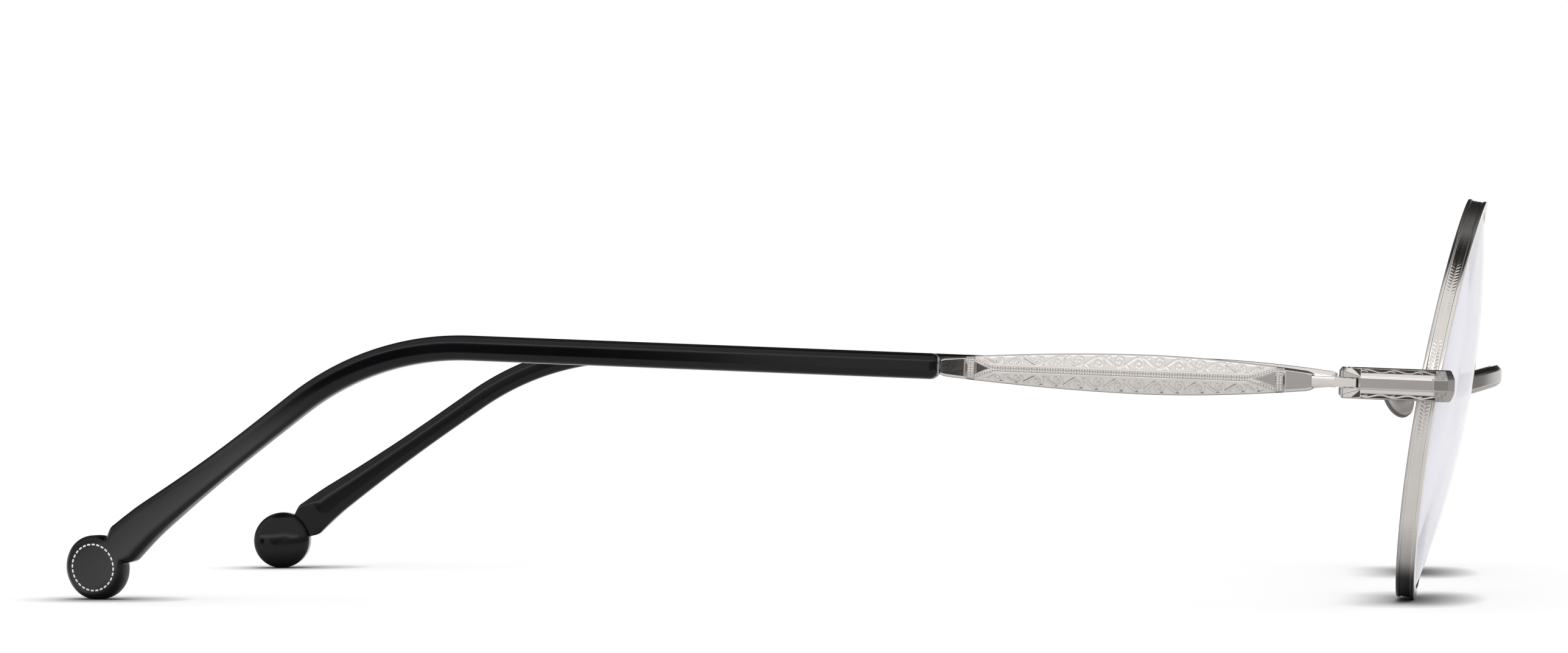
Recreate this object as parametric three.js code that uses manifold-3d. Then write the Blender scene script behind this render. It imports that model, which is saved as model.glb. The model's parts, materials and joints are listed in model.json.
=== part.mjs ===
// Round eyeglasses with an engraved metal front, metal temple plates and black sleeves,
// standing open on the rims and the temple tips.
// Millimetres. +Z is up, the front faces -Y, and the wearer's left is +X.
import * as THREE from 'three';
import { mergeVertices } from 'three/addons/utils/BufferGeometryUtils.js';
import Module from 'manifold-3d';

const wasm = await Module();
wasm.setup();
const DEGREE = Math.PI / 180;

// Clearances
const SOLDER_GAP = 0.15;        // between soldered pieces
const LENS_GAP = 0.1;           // between the lens and its groove
const RUNNING_GAP = 0.08;       // round a screw, beside a hinge tongue
const SLEEVE_GAP = 0.1;         // between the core wire and its bore
const OVERCUT = 1;              // reach of a cut past the surface that it opens

// Sides of round shapes, and steps along bent ones
const FINE_SIDES = 28;
const SCREW_SIDES = 20;
const SMALL_SIDES = 14;
const WIRE_SIDES = 8;
const SLEEVE_SIDES = 12;
const RIM_STEPS = 48;
const SPACE_SIDES = 120;
const LENS_RINGS = 3;
const BRIDGE_STEPS = 16;
const ARM_STEPS = 12;
const PLATE_STEPS = 20;
const TEMPLE_STEPS = 8;
const DOME_STEPS = 4;

// Front: two rims on a bridge
const EYE_DIAMETER = 40.3;      // inner edge of the rim
const BRIDGE_WIDTH = 26.1;      // between the inner edges of the two rims
const FACE_WRAP = 1.9;          // degrees that each rim turns back at the side
const FACE_TILT = 8.0;          // degrees that the rims lean back at the bottom
const RIM_FORWARD = 10.3;       // rim's front ahead of the hinge line
const RIM_DROP = 1.61;          // rim's centre below the hinge line
const RIM_WALL = 1.1;
const RIM_DEPTH = 1.93;
const RIM_BEND = 0.95;          // rim's two sides behind its top and bottom
const RIM_BORDER = 0.34;        // polished border on each side of the engraved band
const RIM_RECESS = 0.12;        // depth of the engraved band
const RIM_SPLIT = 0.4;          // saw cut that lets the lens in
const GROOVE_DEPTH = 0.45;
const GROOVE_WIDTH = 1.1;

// Lens
const LENS_CURVE = 96;          // radius of the front surface
const LENS_THICKNESS = 1.5;
const LENS_EDGE = 0.8;          // width of the lens's edge, outside its bevel

// Bridge: a ribbon that arches forward and up over the nose
const BRIDGE_HEIGHT = 2.4;
const BRIDGE_THICKNESS = 1.2;
const BRIDGE_BEVEL = 0.35;
const BRIDGE_REACH = 6.2;       // apex ahead of the ribbon's ends
const BRIDGE_RISE = 2.0;        // apex above the ribbon's ends
const BRIDGE_LIFT = 0.6;        // ribbon's ends above the rims' centres

// End pieces, each with a fork for the hinge
const END_SPAN = 9.55;          // hinge axis outside the rim
const END_HEIGHT = 3.15;
const END_THICKNESS = 2.2;
const END_PANEL = 1.3;          // flat panel between the two bevels
const END_BEVEL = 0.5;          // depth of the bevels
const END_AHEAD = 0.1;          // front face ahead of the rim's front
const END_REAR = 0.94;          // fork's end behind the hinge axis
const END_CORNER = 2.1;         // reach of the faceted corner
const END_CHAMFER = 0.42;       // facets at the fork's end
const END_LAP = 0.9;            // leg's cover over the rim's front

// Hinge
const TONGUE_RADIUS = 1.0;
const TONGUE_HEIGHT = 0.84;
const HINGE_SCREW = 0.94;
const HINGE_HEAD = 1.45;
const HEAD_HEIGHT = 0.32;
const SCREW_SLOT = 0.22;        // width and depth of a screwdriver slot
const TEMPLE_TOE = 7;           // degrees that the open temples turn in

// Rim locks: two blocks and a screw that close each rim
const BLOCK_WIDTH = 2.3;
const BLOCK_DEPTH = 1.6;
const BLOCK_HEIGHT = 1.3;
const LOCK_SCREW = 0.8;
const LOCK_HEAD = 1.2;

// Nose pads
const PAD_WIDTH = 3.9;
const PAD_HEIGHT = 5.6;
const PAD_THICKNESS = 1.0;
const PAD_CHAMFER = 0.3;
const PAD_INSET = 3.75;         // pivot from the rim's inner edge, towards the nose
const PAD_BEHIND = 4.95;        // pivot behind the rim's front
const PAD_LIFT = 1.01;          // pivot above the rim's centre
const PAD_SPLAY = 35;           // degrees, seen from above
const PAD_SLOPE = 25;           // degrees, seen from the front
const PAD_STAND = 0.95;         // pivot behind the pad's back
const PAD_SCREW = 0.56;
const PAD_SCREW_HEAD = 1.0;
const LUG_WIDTH = 0.7;
const LUG_RADIUS = 0.6;
const BOX_CHEEK = 0.5;
const BOX_HALF = 0.75;          // half height of the pad box
const BOX_BASE = 0.55;
const PAD_WIRE = 0.85;          // diameter of the pad arm
const PAD_ARM_DROP = 0.3;       // pad arm's root below the rim's centre

// Temples, measured from the hinge axis
const STRIP_CLEAR = 0.41;       // strip's front behind the fork's end
const STRIP_HEIGHT = 1.07;
const STRIP_WIDTH = 1.5;
const PLATE_START = 3.5;
const PLATE_LENGTH = 38;
const PLATE_PEAK = 16.6;        // widest place behind the plate's front
const PLATE_HALF = 2.0;         // half height at the widest place
const PLATE_END_HALF = 0.92;    // half height at the ends
const PLATE_SWELL = 1.8;        // power of the outline's curve
const PLATE_BACK = 0.65;        // flat inner face from the middle
const PLATE_EDGE = 0.1;         // thin edge from the middle
const PLATE_RIDGE = 0.75;       // ridge from the middle
const PLATE_CAP = 1.2;          // length of the bevelled ends
const PLATE_TAPER = 0.8;        // size of the faces at the bevelled ends
const BEND_AT = 103.3;          // where the straight line and the tail would meet
const BEND_ANGLE = 37.4;        // degrees
const BEND_RADIUS = 32.5;
const TAIL_LENGTH = 41;         // from that meeting to beside the tip's centre
const BOW_START = 47.5;
const BOW_DEPTH = 7.7;          // inward bow of the sleeve at the tip
const WIRE_HEIGHT = 1.0;
const WIRE_WIDTH = 0.8;
const WIRE_SHORT = 8;           // core wire's end before the tip's centre
const SLEEVE_HEIGHT = 2.65;
const SLEEVE_WIDTH = 2.4;
const SLEEVE_SQUARE = 0.6;      // power that makes the section a rounded box
const SLEEVE_NOSE = 0.7;        // length of the rounded front end
const NOSE_FACE = 0.72;         // size of the front end's face
const FLARE_START = 25;         // flare's length before the tip's centre
const FLARE_TOP = 4.2;          // widest place before the tip's centre
const FLARE_HEIGHT = 4.43;
const NECK_HEIGHT = 3.75;
const TIP_DIAMETER = 6.93;
const TIP_DROP = 0.45;          // tip's centre below the tail's line
const TIP_FACE = 6.0;           // flat outer face
const TIP_OUTER = 1.9;          // outer face from the middle
const TIP_INNER = 2.0;          // dome's top from the middle
const TIP_BEVEL = 0.5;
const TIP_WAIST = 0.3;          // depth of the groove under the dome

// Sizes that follow
const RIM_INNER = EYE_DIAMETER / 2;
const RIM_OUTER = RIM_INNER + RIM_WALL;
const RIM_SPREAD = (EYE_DIAMETER + BRIDGE_WIDTH) / 2;
const HINGE_HALF = RIM_SPREAD + RIM_OUTER + END_SPAN;
const END_FRONT = RIM_FORWARD + END_AHEAD;
const STRIP_START = END_REAR + STRIP_CLEAR;
const FORK_SLOT = TONGUE_HEIGHT + 2 * RUNNING_GAP;
const FORK_DEPTH = TONGUE_RADIUS + 2 * RUNNING_GAP;
const PLATE_END = PLATE_START + PLATE_LENGTH;
const SLEEVE_START = PLATE_END + 2 * SLEEVE_GAP;
const BEND_REACH = BEND_RADIUS * Math.tan(BEND_ANGLE * DEGREE / 2);
const BEND_START = BEND_AT - BEND_REACH;
const BEND_END = BEND_START + BEND_RADIUS * BEND_ANGLE * DEGREE;
const TEMPLE_LENGTH = BEND_END + TAIL_LENGTH - BEND_REACH;
const TIP_RADIUS = TIP_DIAMETER / 2;

// Finishes
const FINISHES = {
  silver: { color: 0xb4b4b2, roughness: 0.28, metalness: 1 },
  steel: { color: 0xc4c5c6, roughness: 0.3, metalness: 1 },
  lens: { color: 0xe6e4f2, roughness: 0.05, metalness: 0 },
  acetate: { color: 0x0c0c0d, roughness: 0.12, metalness: 0 },
};

// Geometry helpers

const vector = (x, y, z) => new THREE.Vector3(x, y, z);

// Even series with both its ends.
const series = (count, from, to) => (
  Array.from({ length: count + 1 }, (_, i) => from + (to - from) * i / count)
);

// Corners on the unit circle, turned by a part of a step.
const ring = (count, turn = 0) => Array.from({ length: count }, (_, i) => {
  const angle = 2 * Math.PI * (i + turn) / count;
  return [Math.cos(angle), Math.sin(angle)];
});

function facingOut(geometry) {
  const place = geometry.getAttribute('position');
  const corners = geometry.index.array;
  const [a, b, c] = [vector(), vector(), vector()];
  let volume = 0;
  for (let i = 0; i < corners.length; i += 3) {
    a.fromBufferAttribute(place, corners[i]);
    b.fromBufferAttribute(place, corners[i + 1]);
    c.fromBufferAttribute(place, corners[i + 2]);
    volume += a.dot(b.cross(c));
  }
  if (volume < 0) corners.reverse();
  return geometry;
}

// One skin of merged points, without the flat triangles that poles leave behind.
function skin(geometry) {
  geometry.deleteAttribute('normal');
  geometry.deleteAttribute('uv');
  const merged = mergeVertices(geometry, 1e-5);
  const corners = merged.index.array;
  const kept = [];
  for (let i = 0; i < corners.length; i += 3) {
    const [a, b, c] = corners.slice(i, i + 3);
    if (a !== b && b !== c && c !== a) kept.push(a, b, c);
  }
  merged.setIndex(kept);
  return facingOut(merged);
}

function solid(geometry) {
  const closed = skin(geometry);
  return new wasm.Manifold(new wasm.Mesh({
    numProp: 3,
    vertProperties: new Float32Array(closed.getAttribute('position').array),
    triVerts: new Uint32Array(closed.index.array),
  }));
}

function surface(body) {
  const mesh = body.getMesh();
  const geometry = new THREE.BufferGeometry();
  geometry.setAttribute('position', new THREE.Float32BufferAttribute(mesh.vertProperties, 3));
  geometry.setIndex([...mesh.triVerts]);
  return geometry;
}

// Closed solid through the same section at each station: a point (u, v) of the section lies at
// station.at + u * station.across + v * station.up.
function sweep(section, stations) {
  const count = section.length;
  const points = stations.flatMap(({ at, across, up }) => section.flatMap(([u, v]) => (
    at.clone().addScaledVector(across, u).addScaledVector(up, v).toArray()
  )));
  const corners = [];
  for (let ring = 0; ring < stations.length - 1; ring += 1) {
    for (let i = 0; i < count; i += 1) {
      const a = ring * count + i;
      const b = ring * count + (i + 1) % count;
      corners.push(a, b, b + count, a, b + count, a + count);
    }
  }
  const last = (stations.length - 1) * count;
  const outline = section.map(([u, v]) => new THREE.Vector2(u, v));
  const clockwise = THREE.ShapeUtils.isClockWise(outline);
  for (const [a, b, c] of THREE.ShapeUtils.triangulateShape(outline, [])) {
    const [first, second] = clockwise ? [c, a] : [a, c];
    corners.push(second, b, first, last + first, last + b, last + second);
  }
  const geometry = new THREE.BufferGeometry();
  geometry.setAttribute('position', new THREE.Float32BufferAttribute(points, 3));
  geometry.setIndex(corners);
  return facingOut(geometry);
}

// Turned solid about Y from pairs of radius and height.
function turned(profile, sides) {
  const points = profile.map(([radius, height]) => new THREE.Vector2(radius, height));
  return skin(new THREE.LatheGeometry(points, sides));
}

function block(from, to) {
  const size = to.clone().sub(from);
  const box = new THREE.BoxGeometry(size.x, size.y, size.z);
  return box.translate(...from.clone().add(to).multiplyScalar(0.5).toArray());
}

// Upright round bar between two heights.
function bar(diameter, low, high, sides = SCREW_SIDES) {
  const geometry = new THREE.CylinderGeometry(diameter / 2, diameter / 2, high - low, sides);
  return geometry.rotateX(Math.PI / 2).translate(0, 0, (low + high) / 2);
}

// Upright slotted screw with its head's top at height top, and the hole that it fits.
function screw(shaft, head, low, top) {
  const pin = solid(bar(shaft, low, top - HEAD_HEIGHT / 2));
  const cap = solid(bar(head, top - HEAD_HEIGHT, top));
  const slot = block(
    vector(-head, -SCREW_SLOT / 2, top - SCREW_SLOT),
    vector(head, SCREW_SLOT / 2, top + OVERCUT),
  );
  return surface(pin.add(cap).subtract(solid(slot)));
}

function screwHole(shaft, head, low, top) {
  const gap = 2 * RUNNING_GAP;
  const seat = top - HEAD_HEIGHT - RUNNING_GAP;
  const shank = solid(bar(shaft + gap, low - OVERCUT, top + OVERCUT));
  return shank.add(solid(bar(head + gap, seat, top + OVERCUT)));
}

function piece(name, geometry, finish) {
  const mesh = new THREE.Mesh(geometry, new THREE.MeshStandardMaterial(FINISHES[finish]));
  mesh.name = name;
  return mesh;
}

// Rim and lens, about the rim's own axis, with the rim's front at y = 0

const rimTurn = new THREE.Euler(FACE_TILT * DEGREE, 0, FACE_WRAP * DEGREE, 'ZYX');
const rimPlace = new THREE.Matrix4().makeRotationFromEuler(rimTurn);
rimPlace.setPosition(RIM_SPREAD, -RIM_FORWARD, -RIM_DROP);
const rimBend = (x) => RIM_BEND * (x / RIM_OUTER) ** 2;
const onRim = (x, y, z) => vector(x, y + rimBend(x), z).applyMatrix4(rimPlace);

// Flat ring or lens bent to the curve of the face.
function bent(geometry) {
  const place = geometry.getAttribute('position');
  for (let i = 0; i < place.count; i += 1) place.setY(i, place.getY(i) + rimBend(place.getX(i)));
  return geometry;
}

function rimGeometry() {
  const band = RIM_OUTER - RIM_RECESS;
  const middle = RIM_DEPTH / 2;
  const section = [
    [RIM_INNER, 0], [RIM_OUTER, 0], [RIM_OUTER, RIM_BORDER], [band, RIM_BORDER],
    [band, RIM_DEPTH - RIM_BORDER], [RIM_OUTER, RIM_DEPTH - RIM_BORDER], [RIM_OUTER, RIM_DEPTH],
    [RIM_INNER, RIM_DEPTH], [RIM_INNER, middle + GROOVE_WIDTH / 2],
    [RIM_INNER + GROOVE_DEPTH, middle], [RIM_INNER, middle - GROOVE_WIDTH / 2],
  ];
  const split = Math.asin(RIM_DROP / RIM_OUTER);
  const half = RIM_SPLIT / 2 / RIM_OUTER;
  const stations = series(RIM_STEPS, split + half, split - half + 2 * Math.PI).map((angle) => (
    { at: vector(), across: vector(Math.cos(angle), 0, Math.sin(angle)), up: vector(0, 1, 0) }
  ));
  return bent(sweep(section, stations));
}

// The space that a rim takes up, with the soldering gap around it, in the worn frame.
function rimSpace() {
  const [inner, outer] = [RIM_INNER - END_LAP, RIM_OUTER + SOLDER_GAP];
  const [front, rear] = [-SOLDER_GAP, RIM_DEPTH + SOLDER_GAP];
  const profile = [[inner, front], [outer, front], [outer, rear], [inner, rear], [inner, front]];
  return solid(bent(turned(profile, SPACE_SIDES)).applyMatrix4(rimPlace));
}

function lensGeometry() {
  const edge = RIM_INNER - LENS_GAP;
  const middle = RIM_DEPTH / 2;
  const apex = edge + GROOVE_DEPTH * LENS_EDGE / GROOVE_WIDTH;
  const sphere = (radius) => Math.sqrt(LENS_CURVE ** 2 - radius ** 2);
  const cup = (radius) => sphere(edge) - sphere(radius);
  const face = series(LENS_RINGS, 0, edge);
  const front = face.map((radius) => [radius, middle - LENS_THICKNESS / 2 + cup(radius)]);
  const back = face.map((radius) => [radius, middle + LENS_THICKNESS / 2 + cup(radius)]).reverse();
  const bevel = [[edge, middle - LENS_EDGE / 2], [apex, middle], [edge, middle + LENS_EDGE / 2]];
  return bent(turned([...front, ...bevel, ...back], RIM_STEPS));
}

// Bridge

function bridgeGeometry() {
  const end = onRim(-RIM_OUTER, RIM_DEPTH / 2, BRIDGE_LIFT);
  const reach = end.x + RIM_WALL / 2;
  const [thick, tall] = [BRIDGE_THICKNESS / 2, BRIDGE_HEIGHT / 2];
  const section = [
    [-thick, -tall], [thick - BRIDGE_BEVEL, -tall], [thick, BRIDGE_BEVEL - tall],
    [thick, tall - BRIDGE_BEVEL], [thick - BRIDGE_BEVEL, tall], [-thick, tall],
  ];
  const at = (t) => vector(
    reach * t,
    end.y - BRIDGE_REACH * (1 - t * t),
    end.z + BRIDGE_RISE * (1 - t * t),
  );
  const stations = series(BRIDGE_STEPS, -1, 1).map((t) => {
    const along = vector(reach, 2 * BRIDGE_REACH * t, -2 * BRIDGE_RISE * t).normalize();
    const front = vector(0, 0, 1).cross(along).negate().normalize();
    return { at: at(t), across: front, up: along.clone().cross(front).negate() };
  });
  const left = rimSpace();
  const right = left.mirror([1, 0, 0]);
  return surface(solid(sweep(section, stations)).subtract(left).subtract(right));
}

// End piece with its fork, and the rim lock behind its leg

// Stations along a bent line in plan: across points inwards and keeps the walls parallel at the corners.
function mitred(points) {
  const sides = points.slice(1).map((b, i) => (
    b.clone().sub(points[i]).normalize().cross(vector(0, 0, 1))
  ));
  return points.map((at, i) => {
    const before = sides[Math.max(i - 1, 0)];
    const after = sides[Math.min(i, sides.length - 1)];
    const across = before.clone().add(after).normalize();
    return { at, across: across.divideScalar(across.dot(before)), up: vector(0, 0, 1) };
  });
}

const endOuter = HINGE_HALF + END_THICKNESS / 2;
const endTop = END_HEIGHT / 2;

function endPieceGeometry() {
  const [panel, lap] = [END_PANEL / 2, onRim(RIM_OUTER - END_LAP, 0, RIM_DROP).x];
  const section = [
    [0, -panel], [0, panel], [END_BEVEL, endTop], [END_THICKNESS, endTop],
    [END_THICKNESS, -endTop], [END_BEVEL, -endTop],
  ];
  const shoulder = END_CORNER / 3;
  const stations = mitred([
    vector(endOuter, END_REAR, 0),
    vector(endOuter, END_CORNER - END_FRONT, 0),
    vector(endOuter - shoulder, shoulder - END_FRONT, 0),
    vector(endOuter - END_CORNER, -END_FRONT, 0),
    vector(lap, -END_FRONT, 0),
  ]);
  // The fork's end is drawn in by a chamfer on all four sides.
  const small = (END_HEIGHT - 2 * END_CHAMFER) / END_HEIGHT;
  const end = stations[0];
  const fork = { ...end, at: end.at.clone().add(vector(0, -END_CHAMFER, 0)) };
  const tipAcross = (END_THICKNESS - 2 * END_CHAMFER) / END_THICKNESS;
  const tip = {
    at: end.at.clone().addScaledVector(end.across, END_CHAMFER),
    across: end.across.clone().multiplyScalar(tipAcross),
    up: end.up.clone().multiplyScalar(small),
  };
  const body = solid(sweep(section, [tip, fork, ...stations.slice(1)]));
  const slot = block(
    vector(endOuter - 2 * END_THICKNESS, -FORK_DEPTH, -FORK_SLOT / 2),
    vector(endOuter + END_THICKNESS, END_REAR + END_THICKNESS, FORK_SLOT / 2),
  );
  const hole = screwHole(HINGE_SCREW, HINGE_HEAD, -endTop, endTop).translate([HINGE_HALF, 0, 0]);
  return surface(body.subtract(solid(slot)).subtract(hole).subtract(rimSpace()));
}

function hingeScrewGeometry() {
  return screw(HINGE_SCREW, HINGE_HEAD, -endTop, endTop);
}

const lockMiddle = vector(
  onRim(RIM_OUTER, 0, RIM_DROP).x + SOLDER_GAP + BLOCK_WIDTH / 2,
  END_THICKNESS - END_FRONT + SOLDER_GAP + BLOCK_DEPTH / 2,
  0,
);
const lockTop = RIM_SPLIT / 2 + BLOCK_HEIGHT;

// One half of the rim lock; side is 1 above the saw cut and -1 below it.
function lockBlockGeometry(side) {
  const low = side > 0 ? RIM_SPLIT / 2 : -lockTop;
  const half = vector(BLOCK_WIDTH / 2 + RIM_WALL / 2, BLOCK_DEPTH / 2, 0);
  const from = lockMiddle.clone().sub(half).setZ(low);
  const to = lockMiddle.clone().add(half).setZ(low + BLOCK_HEIGHT);
  to.x -= RIM_WALL / 2;
  const hole = screwHole(LOCK_SCREW, LOCK_HEAD, -lockTop, lockTop);
  const place = lockMiddle.toArray();
  return surface(solid(block(from, to)).subtract(hole.translate(place)).subtract(rimSpace()));
}

function lockScrewGeometry() {
  return screw(LOCK_SCREW, LOCK_HEAD, -lockTop, lockTop);
}

// Nose pad: its own frame has x across the pad, y up it and z away from the nose, at the pivot

const [splay, slope] = [PAD_SPLAY * DEGREE, PAD_SLOPE * DEGREE];
const sideways = vector(Math.cos(splay), -Math.sin(splay), 0);
const padBack = sideways.clone().multiplyScalar(Math.cos(slope)).setZ(Math.sin(slope));
const padUp = sideways.clone().multiplyScalar(-Math.sin(slope)).setZ(Math.cos(slope));
const padPlace = new THREE.Matrix4().makeBasis(padUp.clone().cross(padBack), padUp, padBack);
padPlace.setPosition(BRIDGE_WIDTH / 2 - PAD_INSET, PAD_BEHIND - RIM_FORWARD, PAD_LIFT - RIM_DROP);
const cheekInner = LUG_WIDTH / 2 + RUNNING_GAP;
const cheekOuter = cheekInner + BOX_CHEEK;
const boxFloor = LUG_RADIUS + 2 * RUNNING_GAP;
const boxBack = boxFloor + BOX_BASE;

function crosswise(geometry) {
  return geometry.rotateY(Math.PI / 2);
}

function padScrewHole() {
  return solid(crosswise(bar(PAD_SCREW + 2 * RUNNING_GAP, -PAD_WIDTH, PAD_WIDTH, SMALL_SIDES)));
}

function padGeometry() {
  const face = -PAD_STAND - PAD_THICKNESS;
  const level = (inset, z) => ({
    at: vector(0, 0, z),
    across: vector(PAD_WIDTH / 2 - inset, 0, 0),
    up: vector(0, PAD_HEIGHT / 2 - inset, 0),
  });
  const plate = sweep(ring(FINE_SIDES), [
    level(PAD_CHAMFER, face),
    level(0, face + PAD_CHAMFER),
    level(0, -PAD_STAND - PAD_CHAMFER),
    level(PAD_CHAMFER, -PAD_STAND),
  ]);
  const stem = block(
    vector(-LUG_WIDTH / 2, -LUG_RADIUS, -PAD_STAND - PAD_THICKNESS / 2),
    vector(LUG_WIDTH / 2, LUG_RADIUS, 0),
  );
  const eye = crosswise(bar(2 * LUG_RADIUS, -LUG_WIDTH / 2, LUG_WIDTH / 2));
  return surface(solid(plate).add(solid(stem)).add(solid(eye)).subtract(padScrewHole()));
}

function padBoxGeometry() {
  const outer = block(
    vector(-cheekOuter, -BOX_HALF, -LUG_RADIUS),
    vector(cheekOuter, BOX_HALF, boxBack),
  );
  const slot = block(
    vector(-cheekInner, -PAD_HEIGHT, -PAD_HEIGHT),
    vector(cheekInner, PAD_HEIGHT, boxFloor),
  );
  return surface(solid(outer).subtract(solid(slot)).subtract(padScrewHole()));
}

function padScrewGeometry() {
  const seat = cheekOuter + RUNNING_GAP;
  const head = crosswise(bar(PAD_SCREW_HEAD, seat, seat + HEAD_HEIGHT, SMALL_SIDES));
  const shaft = crosswise(bar(PAD_SCREW, -cheekOuter, seat + HEAD_HEIGHT / 2, SMALL_SIDES));
  return surface(solid(shaft).add(solid(head)));
}

function padArmGeometry() {
  const onPad = (z) => vector(0, 0, z).applyMatrix4(padPlace);
  const start = onRim(-(RIM_INNER + RIM_OUTER) / 2, RIM_DEPTH, -PAD_ARM_DROP);
  const leave = start.clone().add(vector(0, PAD_WIRE, 0));
  const end = onPad(boxBack + SOLDER_GAP);
  const near = onPad(boxBack + PAD_WIRE);
  const curve = new THREE.CatmullRomCurve3([start, leave, near, end]);
  const stations = series(ARM_STEPS, 0, 1).map((t) => {
    const along = curve.getTangent(t);
    const across = along.clone().cross(vector(1, 0, 0)).setLength(PAD_WIRE / 2);
    return { at: curve.getPoint(t), across, up: along.clone().cross(across) };
  });
  return surface(solid(sweep(ring(WIRE_SIDES), stations)).subtract(rimSpace()));
}

// Temple: x outwards, y backwards along the straight line, z up, from the hinge axis

function templeBarGeometry() {
  const tongue = block(
    vector(-STRIP_WIDTH / 2, 0, -TONGUE_HEIGHT / 2),
    vector(STRIP_WIDTH / 2, PLATE_START, TONGUE_HEIGHT / 2),
  );
  const eye = bar(2 * TONGUE_RADIUS, -TONGUE_HEIGHT / 2, TONGUE_HEIGHT / 2, FINE_SIDES);
  const strip = block(
    vector(-STRIP_WIDTH / 2, STRIP_START, -STRIP_HEIGHT / 2),
    vector(STRIP_WIDTH / 2, PLATE_START + PLATE_CAP, STRIP_HEIGHT / 2),
  );
  const hole = bar(HINGE_SCREW + 2 * RUNNING_GAP, -STRIP_HEIGHT, STRIP_HEIGHT);
  const plate = solid(plateGeometry());
  return surface(solid(tongue).add(solid(eye)).add(solid(strip)).subtract(solid(hole)).add(plate));
}

// Leaf-shaped plate with a flat inner face and a roof-shaped outer face: the half height is
// PLATE_HALF less a power of the distance from the widest place.
function plateGeometry() {
  const section = [
    [-PLATE_BACK, -1], [PLATE_EDGE, -1], [PLATE_RIDGE, 0], [PLATE_EDGE, 1], [-PLATE_BACK, 1],
  ];
  const half = (y) => {
    const reach = y < PLATE_PEAK ? PLATE_PEAK : PLATE_LENGTH - PLATE_PEAK;
    const share = Math.abs(y - PLATE_PEAK) / reach;
    return PLATE_HALF - (PLATE_HALF - PLATE_END_HALF) * share ** PLATE_SWELL;
  };
  const station = (y, size) => ({
    at: vector(0, PLATE_START + y, 0),
    across: vector(size, 0, 0),
    up: vector(0, 0, half(y) * size),
  });
  const leaf = series(PLATE_STEPS, PLATE_CAP, PLATE_LENGTH - PLATE_CAP).map((y) => station(y, 1));
  return sweep(section, [station(0, PLATE_TAPER), ...leaf, station(PLATE_LENGTH, PLATE_TAPER)]);
}

// Point and direction at a length along the temple's line: straight, bent down, and bowed inwards.
function templeLine(length) {
  let [y, z, fall] = [length, 0, 0];
  if (length > BEND_START) {
    fall = Math.min((length - BEND_START) / BEND_RADIUS, BEND_ANGLE * DEGREE);
    const rest = Math.max(length - BEND_END, 0);
    y = BEND_START + BEND_RADIUS * Math.sin(fall) + rest * Math.cos(fall);
    z = -BEND_RADIUS * (1 - Math.cos(fall)) - rest * Math.sin(fall);
  }
  const tipY = BEND_AT + TAIL_LENGTH * Math.cos(BEND_ANGLE * DEGREE);
  const share = Math.max(y - BOW_START, 0) / (tipY - BOW_START);
  return { at: vector(-BOW_DEPTH * share ** 2, y, z), fall };
}

function tipCentre() {
  const { at, fall } = templeLine(TEMPLE_LENGTH);
  return at.add(vector(0, -Math.sin(fall), -Math.cos(fall)).multiplyScalar(TIP_DROP));
}

// Station across the temple's line, with the section's half sizes.
function templeStation(length, width, height) {
  const { at, fall } = templeLine(length);
  return {
    at,
    across: vector(width / 2, 0, 0),
    up: vector(0, Math.sin(fall), Math.cos(fall)).multiplyScalar(height / 2),
  };
}

// Lengths along the temple: wide steps where it is straight, narrow ones in the bend.
function templeSteps(start, end) {
  const straight = series(TEMPLE_STEPS, start, BEND_START);
  const bend = series(TEMPLE_STEPS, BEND_START, BEND_END).slice(1);
  const tail = series(TEMPLE_STEPS, BEND_END, end).slice(1);
  return [...straight, ...bend, ...tail];
}

const bulge = (share) => Math.sign(share) * Math.abs(share) ** SLEEVE_SQUARE;
const roundedBox = ring(SLEEVE_SIDES, 0.5).map(([u, v]) => [bulge(u), bulge(v)]);
const wireSection = ring(WIRE_SIDES, 0.5);
const wireEnd = TEMPLE_LENGTH - WIRE_SHORT;

function coreWireGeometry() {
  const steps = templeSteps(PLATE_END + SLEEVE_GAP, wireEnd);
  return sweep(wireSection, steps.map((length) => templeStation(length, WIRE_WIDTH, WIRE_HEIGHT)));
}

// Height of the sleeve at a distance before the tip's centre.
function sleeveHeight(before) {
  if (before > FLARE_START) return SLEEVE_HEIGHT;
  if (before < FLARE_TOP) {
    const share = Math.min((FLARE_TOP - before) / (FLARE_TOP - TIP_RADIUS), 1);
    return FLARE_HEIGHT + (NECK_HEIGHT - FLARE_HEIGHT) * share;
  }
  const share = (FLARE_START - before) / (FLARE_START - FLARE_TOP);
  return SLEEVE_HEIGHT + (FLARE_HEIGHT - SLEEVE_HEIGHT) * share ** 2;
}

function sleeveGeometry() {
  const steps = [
    ...templeSteps(SLEEVE_START + SLEEVE_NOSE, TEMPLE_LENGTH - FLARE_TOP),
    TEMPLE_LENGTH - TIP_RADIUS, TEMPLE_LENGTH - TIP_WAIST,
  ];
  const body = steps.map((length) => (
    templeStation(length, SLEEVE_WIDTH, sleeveHeight(TEMPLE_LENGTH - length))
  ));
  const nose = [0, 1 / 3].map((t) => {
    const size = 1 - (1 - NOSE_FACE) * (1 - t) ** 2;
    return templeStation(SLEEVE_START + t * SLEEVE_NOSE, SLEEVE_WIDTH * size, SLEEVE_HEIGHT * size);
  });
  const [boreWidth, boreHeight] = [WIRE_WIDTH + 2 * SLEEVE_GAP, WIRE_HEIGHT + 2 * SLEEVE_GAP];
  const bore = templeSteps(SLEEVE_START - OVERCUT, wireEnd + SLEEVE_GAP).map((length) => (
    templeStation(length, boreWidth, boreHeight)
  ));
  const outside = solid(sweep(roundedBox, [...nose, ...body])).add(solid(tipGeometry()));
  return surface(outside.subtract(solid(sweep(wireSection, bore))));
}

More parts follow.
